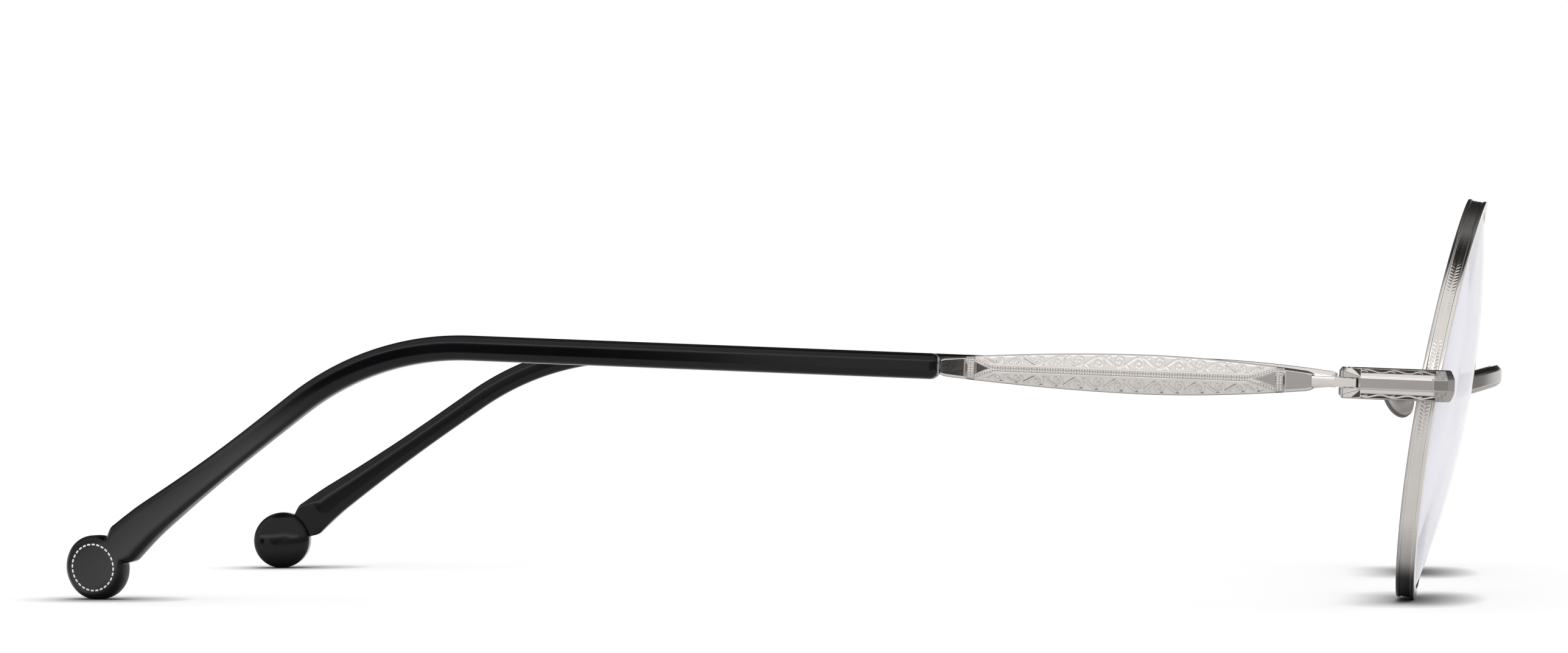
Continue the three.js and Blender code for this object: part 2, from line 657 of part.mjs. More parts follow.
// Round tip with a flat bevelled outer face and a domed inner one, turned to face straight sideways.
function tipGeometry() {
  const face = TIP_FACE / 2;
  const inner = TIP_RADIUS - TIP_WAIST / 3;
  const dome = series(DOME_STEPS, 0, Math.PI / 2).map((angle) => (
    [inner * Math.cos(angle), -TIP_WAIST - (TIP_INNER - TIP_WAIST) * Math.sin(angle)]
  ));
  dome.at(-1)[0] = 0;
  const disc = turned([
    [0, TIP_OUTER], [face, TIP_OUTER], [TIP_RADIUS, TIP_OUTER - TIP_BEVEL], [TIP_RADIUS, TIP_WAIST],
    [TIP_RADIUS - TIP_WAIST, 0], ...dome,
  ], FINE_SIDES);
  return disc.rotateZ(-Math.PI / 2 - TEMPLE_TOE * DEGREE).translate(...tipCentre().toArray());
}

// Assembly

function frontSide(side) {
  const group = new THREE.Group();
  const eye = new THREE.Group();
  eye.position.set(RIM_SPREAD, -RIM_FORWARD, -RIM_DROP);
  eye.rotation.copy(rimTurn);
  eye.add(piece(`${side}_rim`, rimGeometry(), 'silver'));
  eye.add(piece(`${side}_lens`, lensGeometry(), 'lens'));
  const hingeScrew = piece(`${side}_hinge_screw`, hingeScrewGeometry(), 'steel');
  hingeScrew.position.set(HINGE_HALF, 0, 0);
  const lockScrew = piece(`${side}_rim_lock_screw`, lockScrewGeometry(), 'steel');
  lockScrew.position.copy(lockMiddle);
  const pad = new THREE.Group();
  pad.applyMatrix4(padPlace);
  pad.add(piece(`${side}_nose_pad`, padGeometry(), 'steel'));
  pad.add(piece(`${side}_pad_box`, padBoxGeometry(), 'silver'));
  pad.add(piece(`${side}_pad_screw`, padScrewGeometry(), 'steel'));
  group.add(eye, hingeScrew, lockScrew, pad);
  group.add(piece(`${side}_end_piece`, endPieceGeometry(), 'silver'));
  group.add(piece(`${side}_rim_lock_upper`, lockBlockGeometry(1), 'silver'));
  group.add(piece(`${side}_rim_lock_lower`, lockBlockGeometry(-1), 'silver'));
  group.add(piece(`${side}_pad_arm`, padArmGeometry(), 'silver'));
  return group;
}

function temple(side) {
  const group = new THREE.Group();
  group.position.set(HINGE_HALF, 0, 0);
  group.rotation.z = TEMPLE_TOE * DEGREE;
  group.add(piece(`${side}_temple_bar`, templeBarGeometry(), 'silver'));
  group.add(piece(`${side}_core_wire`, coreWireGeometry(), 'steel'));
  group.add(piece(`${side}_temple_sleeve`, sleeveGeometry(), 'acetate'));
  return group;
}

// The worn frame has level temples. It leans until the rims' lowest points and the round tips stand on
// one floor: (tip.y - foot.y) sin(lean) + (tip.z - foot.z) cos(lean) = tip radius.
function standingLean() {
  const foot = onRim(0, 0, -RIM_OUTER);
  const tip = tipCentre().applyAxisAngle(vector(0, 0, 1), TEMPLE_TOE * DEGREE);
  const [run, drop] = [tip.y - foot.y, tip.z - foot.z];
  return Math.asin(TIP_RADIUS / Math.hypot(run, drop)) - Math.atan2(drop, run);
}

const worn = new THREE.Group();
for (const [side, mirror] of [['left', 1], ['right', -1]]) {
  const half = new THREE.Group();
  half.scale.x = mirror;
  half.add(frontSide(side), temple(side));
  worn.add(half);
}
worn.add(piece('bridge', bridgeGeometry(), 'silver'));
worn.rotation.x = standingLean();

const eyeglasses = new THREE.Group();
eyeglasses.name = 'round_eyeglasses';
eyeglasses.add(worn);
const extent = new THREE.Box3().setFromObject(eyeglasses, true);
worn.position.set(0, -(extent.min.y + extent.max.y) / 2, -extent.min.z);

export default eyeglasses;
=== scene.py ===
import json

import bpy
import numpy as np
from mathutils import Matrix


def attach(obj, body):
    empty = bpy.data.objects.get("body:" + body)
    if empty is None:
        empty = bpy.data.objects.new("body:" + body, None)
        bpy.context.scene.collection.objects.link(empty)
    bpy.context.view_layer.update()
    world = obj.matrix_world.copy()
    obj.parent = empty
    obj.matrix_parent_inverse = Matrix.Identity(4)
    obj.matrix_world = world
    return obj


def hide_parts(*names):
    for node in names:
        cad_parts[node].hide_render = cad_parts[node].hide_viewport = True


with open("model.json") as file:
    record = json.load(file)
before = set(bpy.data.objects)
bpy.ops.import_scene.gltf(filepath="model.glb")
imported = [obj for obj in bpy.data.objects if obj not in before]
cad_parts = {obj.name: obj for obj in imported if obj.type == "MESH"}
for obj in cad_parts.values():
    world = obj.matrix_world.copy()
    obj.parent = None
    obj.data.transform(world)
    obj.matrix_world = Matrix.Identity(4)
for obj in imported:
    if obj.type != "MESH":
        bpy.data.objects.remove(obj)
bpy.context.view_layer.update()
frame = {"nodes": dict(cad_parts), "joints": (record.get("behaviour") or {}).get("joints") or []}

# Main sizes, which follow the solids: millimetres, radians and powers
EYE_RADIUS = 20.15
RIM_RADIUS = 21.25
RIM_DEPTH = 1.93
RIM_BEND = 0.95
RIM_BORDER = 0.34
RIM_RECESS = 0.12
RIM_SPLIT = 0.4
RIM_PLACE = (33.2, -10.3, -1.61)
FACE_TILT = np.radians(8)
FACE_WRAP = np.radians(1.9)
GROOVE_DEPTH = 0.45
GROOVE_HALF = 0.55
LENS_CURVE = 96
LENS_THICKNESS = 1.5
LENS_EDGE = 20.05
BRIDGE_HALF = 1.2
BRIDGE_HALF_THICK = 0.6
BRIDGE_REACH = 6.2
BRIDGE_RISE = 2.0
BRIDGE_LIFT = 0.6
HINGE_HALF = 64.0
END_OUTER = 65.1
END_REAR = 0.94
END_FRONT = -10.4
END_CORNER = 2.1
END_LAP = 53.5
END_HALF = 1.575
END_THICK = 2.2
END_CHAMFER = 0.42
FORK_ROOT = -1.16
FORK_HALF = 0.5
PAD_PLACE = (9.3, -5.35, -0.6)
PAD_SPLAY = np.radians(35)
PAD_SLOPE = np.radians(25)
PAD_HALF_WIDTH = 1.95
PAD_HALF_HEIGHT = 2.8
LUG_HALF = 0.35
LUG_RADIUS = 0.6
WIRE_RADIUS = 0.425
WIRE_DROP = 0.3
TEMPLE_TOE = np.radians(7)
STRIP_START = 1.35
STRIP_HALF_WIDTH = 0.75
STRIP_HALF = 0.535
PLATE_START = 3.5
PLATE_LENGTH = 38.0
PLATE_PEAK = 16.6
PLATE_HALF = 2.0
PLATE_END_HALF = 0.92
PLATE_SWELL = 1.8
PLATE_BACK = -0.65
SLEEVE_START = 41.7
BEND_AT = 103.3
BEND_ANGLE = np.radians(37.4)
BEND_RADIUS = 32.5
TAIL_LENGTH = 41.0
BOW_START = 47.5
BOW_DEPTH = 7.7
SLEEVE_HALF = 1.325
SLEEVE_SIDE = 1.2
SLEEVE_SQUARE = 0.6
SLEEVE_NOSE = 0.7
FLARE_START = 25.0
FLARE_TOP = 4.2
FLARE_HALF = 2.215
TIP_RADIUS = 3.465
TIP_DROP = 0.45
TIP_OUTER = 1.9
TIP_BEVEL = 0.5

# The fine work: millimetres, counts and slopes
RIM_ROUNDING = 0.09
BAND_SLOPE = 0.07
CUT_DEPTH = 0.06
CUT_PITCH = 0.4
CUT_REPEATS = 18
BRIDGE_OVERLAP = 0.55
BRIDGE_ROW = -0.92
BRIDGE_PITCH = 0.27
BRIDGE_BEAD = 0.125
BRIDGE_RELIEF = 0.07
BRIDGE_GROOVE = 0.05
BRIDGE_FALL = 0.5
BRIDGE_CROWN = 0.03
PANEL_HALF = 0.60
CHAMFER_HALF = 1.0
BEVEL_LOW = 1.03
BEVEL_HIGH = 1.44
WAVE_MIDDLE = 1.235
WAVE_LENGTH = 2.7
PANEL_END = 7.5
BEVEL_RECESS = 0.08
CROSS_LINE = 7.1
LINE_WIDTH = 0.03
LINE_DEPTH = 0.025
END_BACK_HALF = 1.45
FOLD_ROUNDING = 0.05
POINT_DEPTH = 0.06
RIDGE_HEIGHT = 0.66
RIDGE_HALF = 0.36
ROOF_SLOPE = 0.317
PLATE_BORDER = 0.17
PANEL_INNER = 0.46
PANEL_SINK = 0.02
OPENING_FRONT = (7.3, 3.2)
OPENING_REAR = (6.4, 2.6)
OPENING_SPREAD = 0.74
CAP_LENGTH = 2.95
CAP_RISE = 0.114
VINE_PERIOD = 4.1
VINE_REACH = 0.62
VINE_LINE = 0.1
VINE_RELIEF = 0.042
NOTCH_PLACE = 0.8
NOTCH_HALF = 0.28
NOTCH_DEPTH = 0.03
PARTING_FRONT = (6.6, 2.9)
PARTING_REAR = (5.8, 2.1)
PARTING_POWER = 1.25
PARTING_SPREAD = 0.92
ROW_HALF = 0.145
ROW_PITCH = 0.27
ROW_BEAD = 0.13
ROW_START = 3.75
ROW_RELIEF = 0.06
BAND_START = 3.8
BAND_RELIEF = 0.035
COLUMN_PLACES = (3.17, 3.48)
COLUMN_PITCH = 0.24
COLUMN_BEAD = 0.125
COLUMN_RELIEF = 0.07
COLUMN_SINK = 0.08
STRIP_OUTER = 0.6
STRIP_END = 3.6
EYE_HALF = 0.46
EYE_END = 1.36
NECK = 2.5
DOME_EDGE = 0.35
DOME_RISE = 1.65
DASHES = 28
DASH_RING = 2.5
DASH_HALF_LENGTH = 0.19
DASH_STRAIGHT = 0.15
DASH_HALF_WIDTH = 0.09
DASH_HALF_DEPTH = 0.03

# Amounts of tarnish and of painted shade, from 0 to 1; the bridge and the rim's ends carry painted shade
STRIP_DULL = 0.12
BRIDGE_PAINTED_SHADE = 0.28
CORNER_DULL = 0.36
RIM_BOTTOM_PAINTED_SHADE = 0.97
RIM_TOP_PAINTED_SHADE = 0.7
RIM_REAR_DARK = 0.6

# Points on a rounded corner, and metres in a millimetre
CORNER_POINTS = 4
MILLIMETRE = 0.001

# What follows from the sizes and from the hinge's place
BEND_REACH = BEND_RADIUS * np.tan(BEND_ANGLE / 2)
BEND_START = BEND_AT - BEND_REACH
BEND_END = BEND_START + BEND_RADIUS * BEND_ANGLE
TEMPLE_LENGTH = BEND_END + TAIL_LENGTH - BEND_REACH
HINGE = next(joint for joint in frame["joints"] if joint["name"] == "left_temple_fold")
HINGE_Y, HINGE_Z = np.array(HINGE["pos_m"][1:]) / MILLIMETRE
LEAN = np.arcsin(-HINGE["axis"][1])


# Small mathematics

def ramp(value, low, high):
    """0 below low, 1 above high, an S-shaped step between them."""
    share = np.clip((value - low) / (high - low), 0, 1)
    return share * share * (3 - 2 * share)


def nearing(distance, start, reach):
    """0 until a distance falls below its start, then what it has fallen by as a share of a reach."""
    return np.clip((start - distance) / reach, 0, None)


def raised(distance, width):
    """A rounded line: 1 in its middle, falling off as a bell curve."""
    return np.exp(-(distance / width) ** 2)


def bulge(share):
    """The power that turns a circle into a rounded box."""
    return np.sign(share) * np.abs(share) ** SLEEVE_SQUARE


def unit(vectors):
    """Vectors of the same directions and of length 1."""
    return vectors / np.linalg.norm(vectors, axis=-1, keepdims=True)


def lengths(line):
    """The length along a line of points, from its start to each point."""
    return np.concatenate([[0], np.linalg.norm(np.diff(line, axis=0), axis=1).cumsum()])


def full_turn(count):
    """Even angles round a circle."""
    return np.linspace(0, 2 * np.pi, count, endpoint=False)


def with_back(front, back):
    """Rows of values across a piece's front, each continued by the same values across its back."""
    return np.concatenate([front, np.broadcast_to(back, (len(front), len(back)))], 1)


def rounded(corners, radius, steps=CORNER_POINTS):
    """Closed outlines, an array (..., corners, 2), with each corner turned into the quadratic curve between
    the two points a radius away from it along its sides, or less far where a side is short."""
    corners = np.asarray(corners, float)
    before = np.roll(corners, 1, -2) - corners
    after = np.roll(corners, -1, -2) - corners
    far_before = np.linalg.norm(before, axis=-1, keepdims=True)
    far_after = np.linalg.norm(after, axis=-1, keepdims=True)
    longest_cut = 0.45 * np.minimum(far_before, far_after)
    cut = np.minimum(radius, longest_cut)
    start = (corners + before / far_before * cut)[..., None, :]
    end = (corners + after / far_after * cut)[..., None, :]
    t = np.linspace(0, 1, steps)[:, None]
    curve = (1 - t) ** 2 * start + 2 * t * (1 - t) * corners[..., None, :] + t ** 2 * end
    return curve.reshape(*corners.shape[:-2], -1, 2)


def turned_about(points, axis, angle):
    """Points turned about one axis of the frame, right-handed."""
    a, b = (axis + 1) % 3, (axis + 2) % 3
    out = points.copy()
    out[..., a] = np.cos(angle) * points[..., a] - np.sin(angle) * points[..., b]
    out[..., b] = np.sin(angle) * points[..., a] + np.cos(angle) * points[..., b]
    return out


# Places: each function takes points of one piece's own frame into the worn frame

def on_rim(points):
    """Ring or lens points, with the rim's axis along y: bent back by a parabola in x, tilted, wrapped and
    put in place."""
    points = np.array(points, float)
    points[..., 1] += RIM_BEND * (points[..., 0] / RIM_RADIUS) ** 2
    return turned_about(turned_about(points, 0, FACE_TILT), 2, FACE_WRAP) + RIM_PLACE


def on_temple(points):
    """Temple points, with y backwards from the hinge: toed in about the hinge and moved out to it."""
    return turned_about(np.asarray(points, float), 2, TEMPLE_TOE) + (HINGE_HALF, 0, 0)


def on_pad(points):
    """Nose pad points, with x across the pad, y up it and z away from the nose."""
    sideways = np.array([np.cos(PAD_SPLAY), -np.sin(PAD_SPLAY), 0])
    up = np.array([0, 0, 1.0])
    back = sideways * np.cos(PAD_SLOPE) + up * np.sin(PAD_SLOPE)
    pad_up = -sideways * np.sin(PAD_SLOPE) + up * np.cos(PAD_SLOPE)
    return np.asarray(points, float) @ np.stack([np.cross(pad_up, back), pad_up, back]) + PAD_PLACE


def standing(points):
    """The worn frame, with y back from the hinges and z up, leant about X and moved to the hinges' place,
    as the glasses stand on the floor."""
    return turned_about(points, 0, LEAN) + (0, HINGE_Y, HINGE_Z)


# Pieces from rings of points

def tube(rings):
    """Corners and faces of a closed skin: quads between neighbouring rings, a fan over each end ring."""
    count, size = rings.shape[:2]
    row = np.arange(count - 1)[:, None] * size
    here = np.arange(size)
    after = (here + 1) % size
    quads = np.stack([row + here, row + after, row + size + after, row + size + here], -1).reshape(-1, 4)
    last = (count - 1) * size
    first_fan = np.stack([np.full(size, count * size), after, here], -1)
    last_fan = np.stack([np.full(size, count * size + 1), last + here, last + after], -1)
    corners = np.concatenate([rings.reshape(-1, 3), rings[[0, -1]].mean(1)])
    return corners, quads, np.concatenate([first_fan, last_fan])


def outward(corners, quads, fans):
    """The same skin with its faces turned outwards, from the sign of its volume."""
    triangles = np.concatenate([quads[:, :3], quads[:, [0, 2, 3]], fans])
    a, b, c = np.moveaxis(corners[triangles] - corners.mean(0), 1, 0)
    if (a * np.cross(b, c)).sum() < 0:
        quads, fans = quads[:, ::-1], fans[:, ::-1]
    return quads, fans


def make(name, skins, finish, body, slot, nodes, tones=None, mirrored=False, crease=50):
    """One object from closed skins, each an array (rings, points, 3) in the worn frame. A tone per point,
    which holds tarnish, satin and painted shade and sheen, goes into a point attribute, 0 where a skin has
    none. The right-hand pieces are the left-hand ones mirrored."""
    all_corners, indices, starts, tone_and_painted_light = [], [], [], []
    corner_count = index_count = 0
    for number, rings in enumerate(skins):
        corners, quads, fans = tube(rings)
        corners = standing(corners) * MILLIMETRE
        if mirrored:
            corners[:, 0] *= -1
        quads, fans = outward(corners, quads, fans)
        indices += [(quads + corner_count).ravel(), (fans + corner_count).ravel()]
        starts += [index_count + 4 * np.arange(len(quads)),
                   index_count + quads.size + 3 * np.arange(len(fans))]
        tone = np.zeros(rings.shape[:2]) if tones is None or tones[number] is None else tones[number]
        tone_and_painted_light += [tone.ravel(), tone[[0, -1]].mean(1)]
        all_corners.append(corners)
        corner_count += len(corners)
        index_count += quads.size + fans.size
    corners, indices, starts = map(np.concatenate, (all_corners, indices, starts))
    mesh = bpy.data.meshes.new(name)
    mesh.vertices.add(len(corners))
    mesh.vertices.foreach_set("co", corners.ravel())
    mesh.loops.add(len(indices))
    mesh.loops.foreach_set("vertex_index", indices.astype(np.int32))
    mesh.polygons.add(len(starts))
    mesh.polygons.foreach_set("loop_start", starts.astype(np.int32))
    mesh.update(calc_edges=True)
    mesh.polygons.foreach_set("use_smooth", np.ones(len(starts), bool))
    mesh.set_sharp_from_angle(angle=np.radians(crease))
    mesh.attributes.new("tone_and_painted_light", "FLOAT", "POINT").data.foreach_set("value", np.concatenate(tone_and_painted_light))
    mesh.materials.append(finish)
    piece = bpy.data.objects.new(name, mesh)
    bpy.context.scene.collection.objects.link(piece)
    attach(piece, body)
    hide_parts(*nodes)


# Engraving patterns

def vine(along, across):
    """A running vine: a sine wave as its stem, and in each half turn a curl, whose radius shrinks as it
    winds, and a small leaf. Returns the distance to the nearest of the points laid along its lines."""
    period, reach = VINE_PERIOD, VINE_REACH
    t = np.linspace(0, 1, 120, endpoint=False)
    stem = np.stack([period * t, 0.78 * reach * np.sin(2 * np.pi * t)], -1)
    radius = reach * (0.2 + 0.66 * (1 - t) ** 1.4)
    angle = np.radians(112 + 400 * t)
    curl = np.stack([0.27 * period + radius * np.cos(angle), radius * np.sin(angle) - 0.2 * reach], -1)
    leaf = np.stack([period * (0.07 - 0.06 * t), reach * (0.34 + 0.5 * t ** 0.6)], -1)
    half = np.concatenate([curl, leaf[::3]])
    other_half = half * (1, -1) + (period / 2, 0)
    lines = np.concatenate([stem, half, other_half])
    nearest = np.full(np.broadcast(along, across).shape, np.inf)
    for part in np.array_split(lines, 16):
        ahead = (along[..., None] - part[:, 0] + period / 2) % period - period / 2
        aside = across[..., None] - part[:, 1]
        nearest = np.minimum(nearest, (ahead ** 2 + aside ** 2).min(-1))
    return np.sqrt(nearest)


def beads(along, across, pitch, radius):
    """A row of half balls at an even pitch on the line across = 0."""
    ahead = (along / pitch % 1 - 0.5) * pitch
    return np.sqrt(np.clip(1 - (ahead ** 2 + across ** 2) / radius ** 2, 0, 1))


def bright_cut(along, across, period):
    """Slanting cuts on both sides of a plain stem, like an ear of wheat: the upper part of a triangle wave
    along the band. Their slant, width and depth sway slowly along it, as sums of sine waves."""
    turn = 2 * np.pi * along / period
    sway = np.sin(turn) + 0.6 * np.sin(turn * 2.37 + 1)
    side = np.abs(across)
    slant = 0.5 + 0.12 * sway
    triangle = 1 - np.abs(2 * ((along - slant * side) / CUT_PITCH % 1) - 1)
    cut = np.clip((triangle - 0.4) / 0.6, 0, 1)
    stem, border = ramp(side, 0.1, 0.25), ramp(side, 0.62 + 0.15 * sway, 0.9)
    depth = np.clip(0.6 + 0.4 * np.sin(turn * 0.71 + sway), 0.15, 1)
    return cut * stem * (1 - border) * depth


# Shader nodes

class Wire:
    """A socket that can be used in sums and products; each step adds a node."""

    def __init__(self, tree, socket):
        self.tree = tree
        self.socket = socket

    def node(self, kind, settings, sockets, output=0):
        """Adds any node: its settings, then its sockets' values or links. Returns one output as a Wire."""
        made = self.tree.nodes.new(kind)
        for name, value in settings.items():
            setattr(made, name, value)
        for name, value in sockets.items():
            if isinstance(value, Wire):
                self.tree.links.new(value.socket, made.inputs[name])
            else:
                made.inputs[name].default_value = value
        return Wire(self.tree, made.outputs[output])

    def maths(self, operation, first, second):
        """One operation on two sockets or numbers."""
        return self.node("ShaderNodeMath", {"operation": operation}, {0: first, 1: second})

    def __add__(self, other):
        return self.maths("ADD", self, other)

    def __sub__(self, other):
        return self.maths("SUBTRACT", self, other)

    def __mul__(self, other):
        return self.maths("MULTIPLY", self, other)

    def __pow__(self, other):
        return self.maths("POWER", self, other)

    def __radd__(self, other):
        return self.maths("ADD", other, self)

    def __rsub__(self, other):
        return self.maths("SUBTRACT", other, self)

    def __rmul__(self, other):
        return self.maths("MULTIPLY", other, self)

    def step(self, low, high):
        """0 at low, 1 at high, a smooth step between; low may be the larger of the two."""
        return self.node("ShaderNodeMapRange", {"interpolation_type": "SMOOTHSTEP"},
                         {"Value": self, "From Min": low, "From Max": high})

    def mix(self, first, second):
        """The colour that goes from first to second as this goes from 0 to 1."""
        return self.node("ShaderNodeMix", {"data_type": "RGBA"}, {0: self, 6: first, 7: second}, 2)

    def noise(self, scale, detail=3):
        """Noise at this place."""
        return self.node("ShaderNodeTexNoise", {}, {"Vector": self, "Scale": scale, "Detail": detail})

    def stretched(self, scale):
        """This place with its axes scaled."""
        return self.node("ShaderNodeVectorMath", {"operation": "MULTIPLY"}, {0: self, 1: scale})

    def tone_and_painted_light(self):
        """The tone that the piece carries at its points: tarnish, satin, and painted shade and sheen."""
        return self.node("ShaderNodeAttribute", {"attribute_name": "tone_and_painted_light"}, {}, "Fac")

    def bump(self, strength, distance):
        """The normal that this height gives, its distance in metres."""
        return self.node("ShaderNodeBump", {}, {"Height": self, "Strength": strength, "Distance": distance})


def grey(level):
    """A colour without a hue."""
    return (level, level, level, 1)


def seen_by(tree, *rays):
    """1 for the named kinds of rays, 0 for all others."""
    path = tree.nodes.new("ShaderNodeLightPath").outputs
    total, *others = (Wire(tree, path[f"Is {ray} Ray"]) for ray in rays)
    for other in others:
        total = total + other
    return total.step(0, 1)


def shader(name):
    """A new material: the place on the piece as a Wire, and the node that its finish goes into."""
    material = bpy.data.materials.new(name)
    material.use_nodes = True
    tree = material.node_tree
    place = Wire(tree, tree.nodes.new("ShaderNodeTexCoord").outputs["Object"])
    return material, place, tree.nodes["Principled BSDF"]


def feed(principled, place, **sockets):
    """Sets or links the finish's sockets, named with _ for a blank."""
    for name, value in sockets.items():
        socket = principled.inputs[name.replace("_", " ")]
        if isinstance(value, Wire):
            place.tree.links.new(value.socket, socket)
        else:
            socket.default_value = value


def silver_finish():
    """Polished silver with fine hairlines, darker and duller where the engraving holds tarnish and where
    shade is painted on.
    """
    darker, lighter, black = (0.55, 0.523, 0.502, 1), (0.61, 0.580, 0.556, 1), (0.035, 0.033, 0.032, 1)
    material, place, principled = shader("engraved_silver")
    tarnish_and_painted_shade = place.tone_and_painted_light()
    cloud = place.noise(300)
    hairline = place.stretched((4000, 250, 4000)).noise(1, 2)
    feed(principled, place, Metallic=1.0,
         Base_Color=tarnish_and_painted_shade.mix(cloud.mix(darker, lighter), black),
         Roughness=0.10 + 0.06 * cloud + 0.05 * hairline + 0.25 * tarnish_and_painted_shade,
         Normal=hairline.bump(0.05, 0.00002))
    return material


def steel_finish(name, darker, lighter, roughness):
    """Satin steel: brushed streaks in the colour and the gloss, dark where the piece carries a dark tone.
    """
    black = (0.05, 0.048, 0.046, 1)
    material, place, principled = shader(name)
    tarnish_and_painted_shade = place.tone_and_painted_light()
    streak = place.stretched((600, 600, 6000)).noise(1)
    feed(principled, place, Metallic=1.0,
         Base_Color=tarnish_and_painted_shade.mix(streak.mix(darker, lighter), black),
         Roughness=roughness + 0.12 * streak,
         Normal=streak.bump(0.08, 0.00003))
    return material


def acetate_finish():
    """Polished black acetate with faint clouds in the black and in the gloss and a slightly wavy surface;
    it is satin on the outer face of the tail, and a grey painted sheen lightens it there."""
    darker, lighter = (0.002, 0.002, 0.0025, 1), (0.004, 0.004, 0.005, 1)
    # Painted sheen: the grey that lightens the tail's outer face
    painted_sheen_grey = (0.045, 0.045, 0.047, 1)
    material, place, principled = shader("black_acetate")
    satin_and_painted_sheen = place.tone_and_painted_light()
    cloud = place.noise(160)
    wave = place.noise(90, 1)
    feed(principled, place, Specular_IOR_Level=0.2,
         Base_Color=satin_and_painted_sheen.mix(cloud.mix(darker, lighter), painted_sheen_grey),
         Roughness=0.09 + 0.07 * cloud + 0.25 * satin_and_painted_sheen,
         Normal=wave.bump(0.04, 0.0002))
    return material


def paint_finish():
    """White paint of the dashes, a little uneven."""
    material, place, principled = shader("white_paint")
    cloud = place.noise(1500)
    feed(principled, place,
         Base_Color=cloud.mix((0.72, 0.72, 0.73, 1), grey(0.84)),
         Roughness=0.45 + 0.1 * cloud)
    return material


def lens_finish():
    """A lens with a lavender coating: clear when looked at straight, and milky lavender along its face, a
    painted reflection that stands in for the glass's bright grazing reflection.
    """
    material, place, principled = shader("lens_with_painted_reflection")
    cloud = place.noise(40, 1)
    slant = place.node("ShaderNodeLayerWeight", {}, {"Blend": 0.5}, "Facing")
    # Painted reflection: towards grazing views the lens turns opaque and pale lavender
    feed(principled, place, Base_Color=cloud.mix((0.79, 0.78, 0.86, 1), (0.82, 0.81, 0.88, 1)),
         Roughness=0.03 + 0.02 * cloud, Alpha=0.08 + 0.85 * slant ** 2.2)
    return material


SILVER = silver_finish()
STEEL = steel_finish("satin_steel", (0.50, 0.50, 0.51, 1), grey(0.66), 0.24)
PAD_METAL = steel_finish("satin_pad_metal", (0.58, 0.56, 0.54, 1), (0.72, 0.695, 0.67, 1), 0.45)
ACETATE = acetate_finish()
PAINT = paint_finish()
LENS = lens_finish()


# Rims and lenses

def revolved(outline, angle):
    """Points at a radius and a depth, an array (..., 2), turned about the rim's axis by the angles."""
    radius, depth = np.broadcast_arrays(*np.moveaxis(outline, -1, 0))
    angle, radius, depth = np.broadcast_arrays(angle, radius, depth)
    return on_rim(np.stack([radius * np.cos(angle), depth, radius * np.sin(angle)], -1))


def rim_skin():
    """A rounded channel section turned round the eye, from one side of the split to the other. The cut
    pattern lowers the outer band, most of all near the split. Tarnish lies in the cuts, the rim is darker
    along its rear edge, and shade is painted on the outside at the top and the bottom, standing in for
    the dark reflections there. Returns the skin and its tarnish and painted shade."""
    band, middle = RIM_RADIUS - RIM_RECESS, RIM_DEPTH / 2
    corners = [
        (EYE_RADIUS, 0), (RIM_RADIUS, 0), (RIM_RADIUS, RIM_BORDER), (band, RIM_BORDER + BAND_SLOPE),
        (band, RIM_DEPTH - RIM_BORDER - BAND_SLOPE), (RIM_RADIUS, RIM_DEPTH - RIM_BORDER),
        (RIM_RADIUS, RIM_DEPTH), (EYE_RADIUS, RIM_DEPTH), (EYE_RADIUS, middle + GROOVE_HALF),
        (EYE_RADIUS + GROOVE_DEPTH, middle), (EYE_RADIUS, middle - GROOVE_HALF),
    ]
    outline = rounded(corners, RIM_ROUNDING)
    # The band's flat, after the fourth corner, gets points that the cut pattern can lower
    start, added = 4 * CORNER_POINTS, 20
    inside = np.linspace(outline[start - 1], outline[start], added + 2)[1:-1]
    outline = np.concatenate([outline[:start], inside, outline[start:]])
    in_band = np.zeros(len(outline))
    in_band[start:start + added] = 1
    split, half = np.arcsin(-RIM_PLACE[2] / RIM_RADIUS), RIM_SPLIT / 2 / RIM_RADIUS
    angle = np.linspace(split + half, split - half + 2 * np.pi, 1500)[:, None]
    across = (outline[:, 1] - middle) / (middle - RIM_BORDER)
    cut = bright_cut(angle * RIM_RADIUS, across[None, :], 2 * np.pi * RIM_RADIUS / CUT_REPEATS) * in_band
    near_split = raised(np.minimum(angle - split, split + 2 * np.pi - angle), 0.35)
    cut = cut * (0.45 + 0.55 * near_split)
    radius = outline[:, 0] - CUT_DEPTH * cut
    depth = np.broadcast_to(outline[:, 1], radius.shape)
    rear = raised(outline[:, 1] - RIM_DEPTH + 0.03, 0.08) * (outline[:, 0] > RIM_RADIUS - 0.3)
    # Painted shade: the outside of the rim is darkened at its top and bottom, standing in for the dark
    # reflections there
    bottom, top = ramp(-np.sin(angle), 0.78, 0.9), ramp(np.sin(angle), 0.88, 0.98)
    outside = (outline[:, 0] > band - 0.02) * (np.abs(outline[:, 1] - middle) < middle - 0.05)
    ends = (RIM_BOTTOM_PAINTED_SHADE * bottom + RIM_TOP_PAINTED_SHADE * top) * outside
    worked = RIM_REAR_DARK * rear + 0.05 * in_band + (0.12 + 0.2 * near_split) * cut
    tone = np.maximum(ends, worked)
    return revolved(np.stack([radius, depth], -1), angle), tone


def lens_skin():
    """Two spherical faces a thickness apart with a pointed edge, turned about the eye's axis."""
    middle = RIM_DEPTH / 2
    radius = np.linspace(0.5, LENS_EDGE, 26)
    cup = np.sqrt(LENS_CURVE ** 2 - LENS_EDGE ** 2) - np.sqrt(LENS_CURVE ** 2 - radius ** 2)
    front, rear = (np.stack([radius, middle + side * LENS_THICKNESS / 2 + cup], -1) for side in (-1, 1))
    shoulder, point = LENS_EDGE + 0.05, LENS_EDGE + 0.3
    edge = [(shoulder, middle - 0.4), (point, middle), (shoulder, middle + 0.4)]
    outline = np.concatenate([front, edge, rear[::-1]])
    return revolved(outline[:, None], full_turn(160))


# Bridge

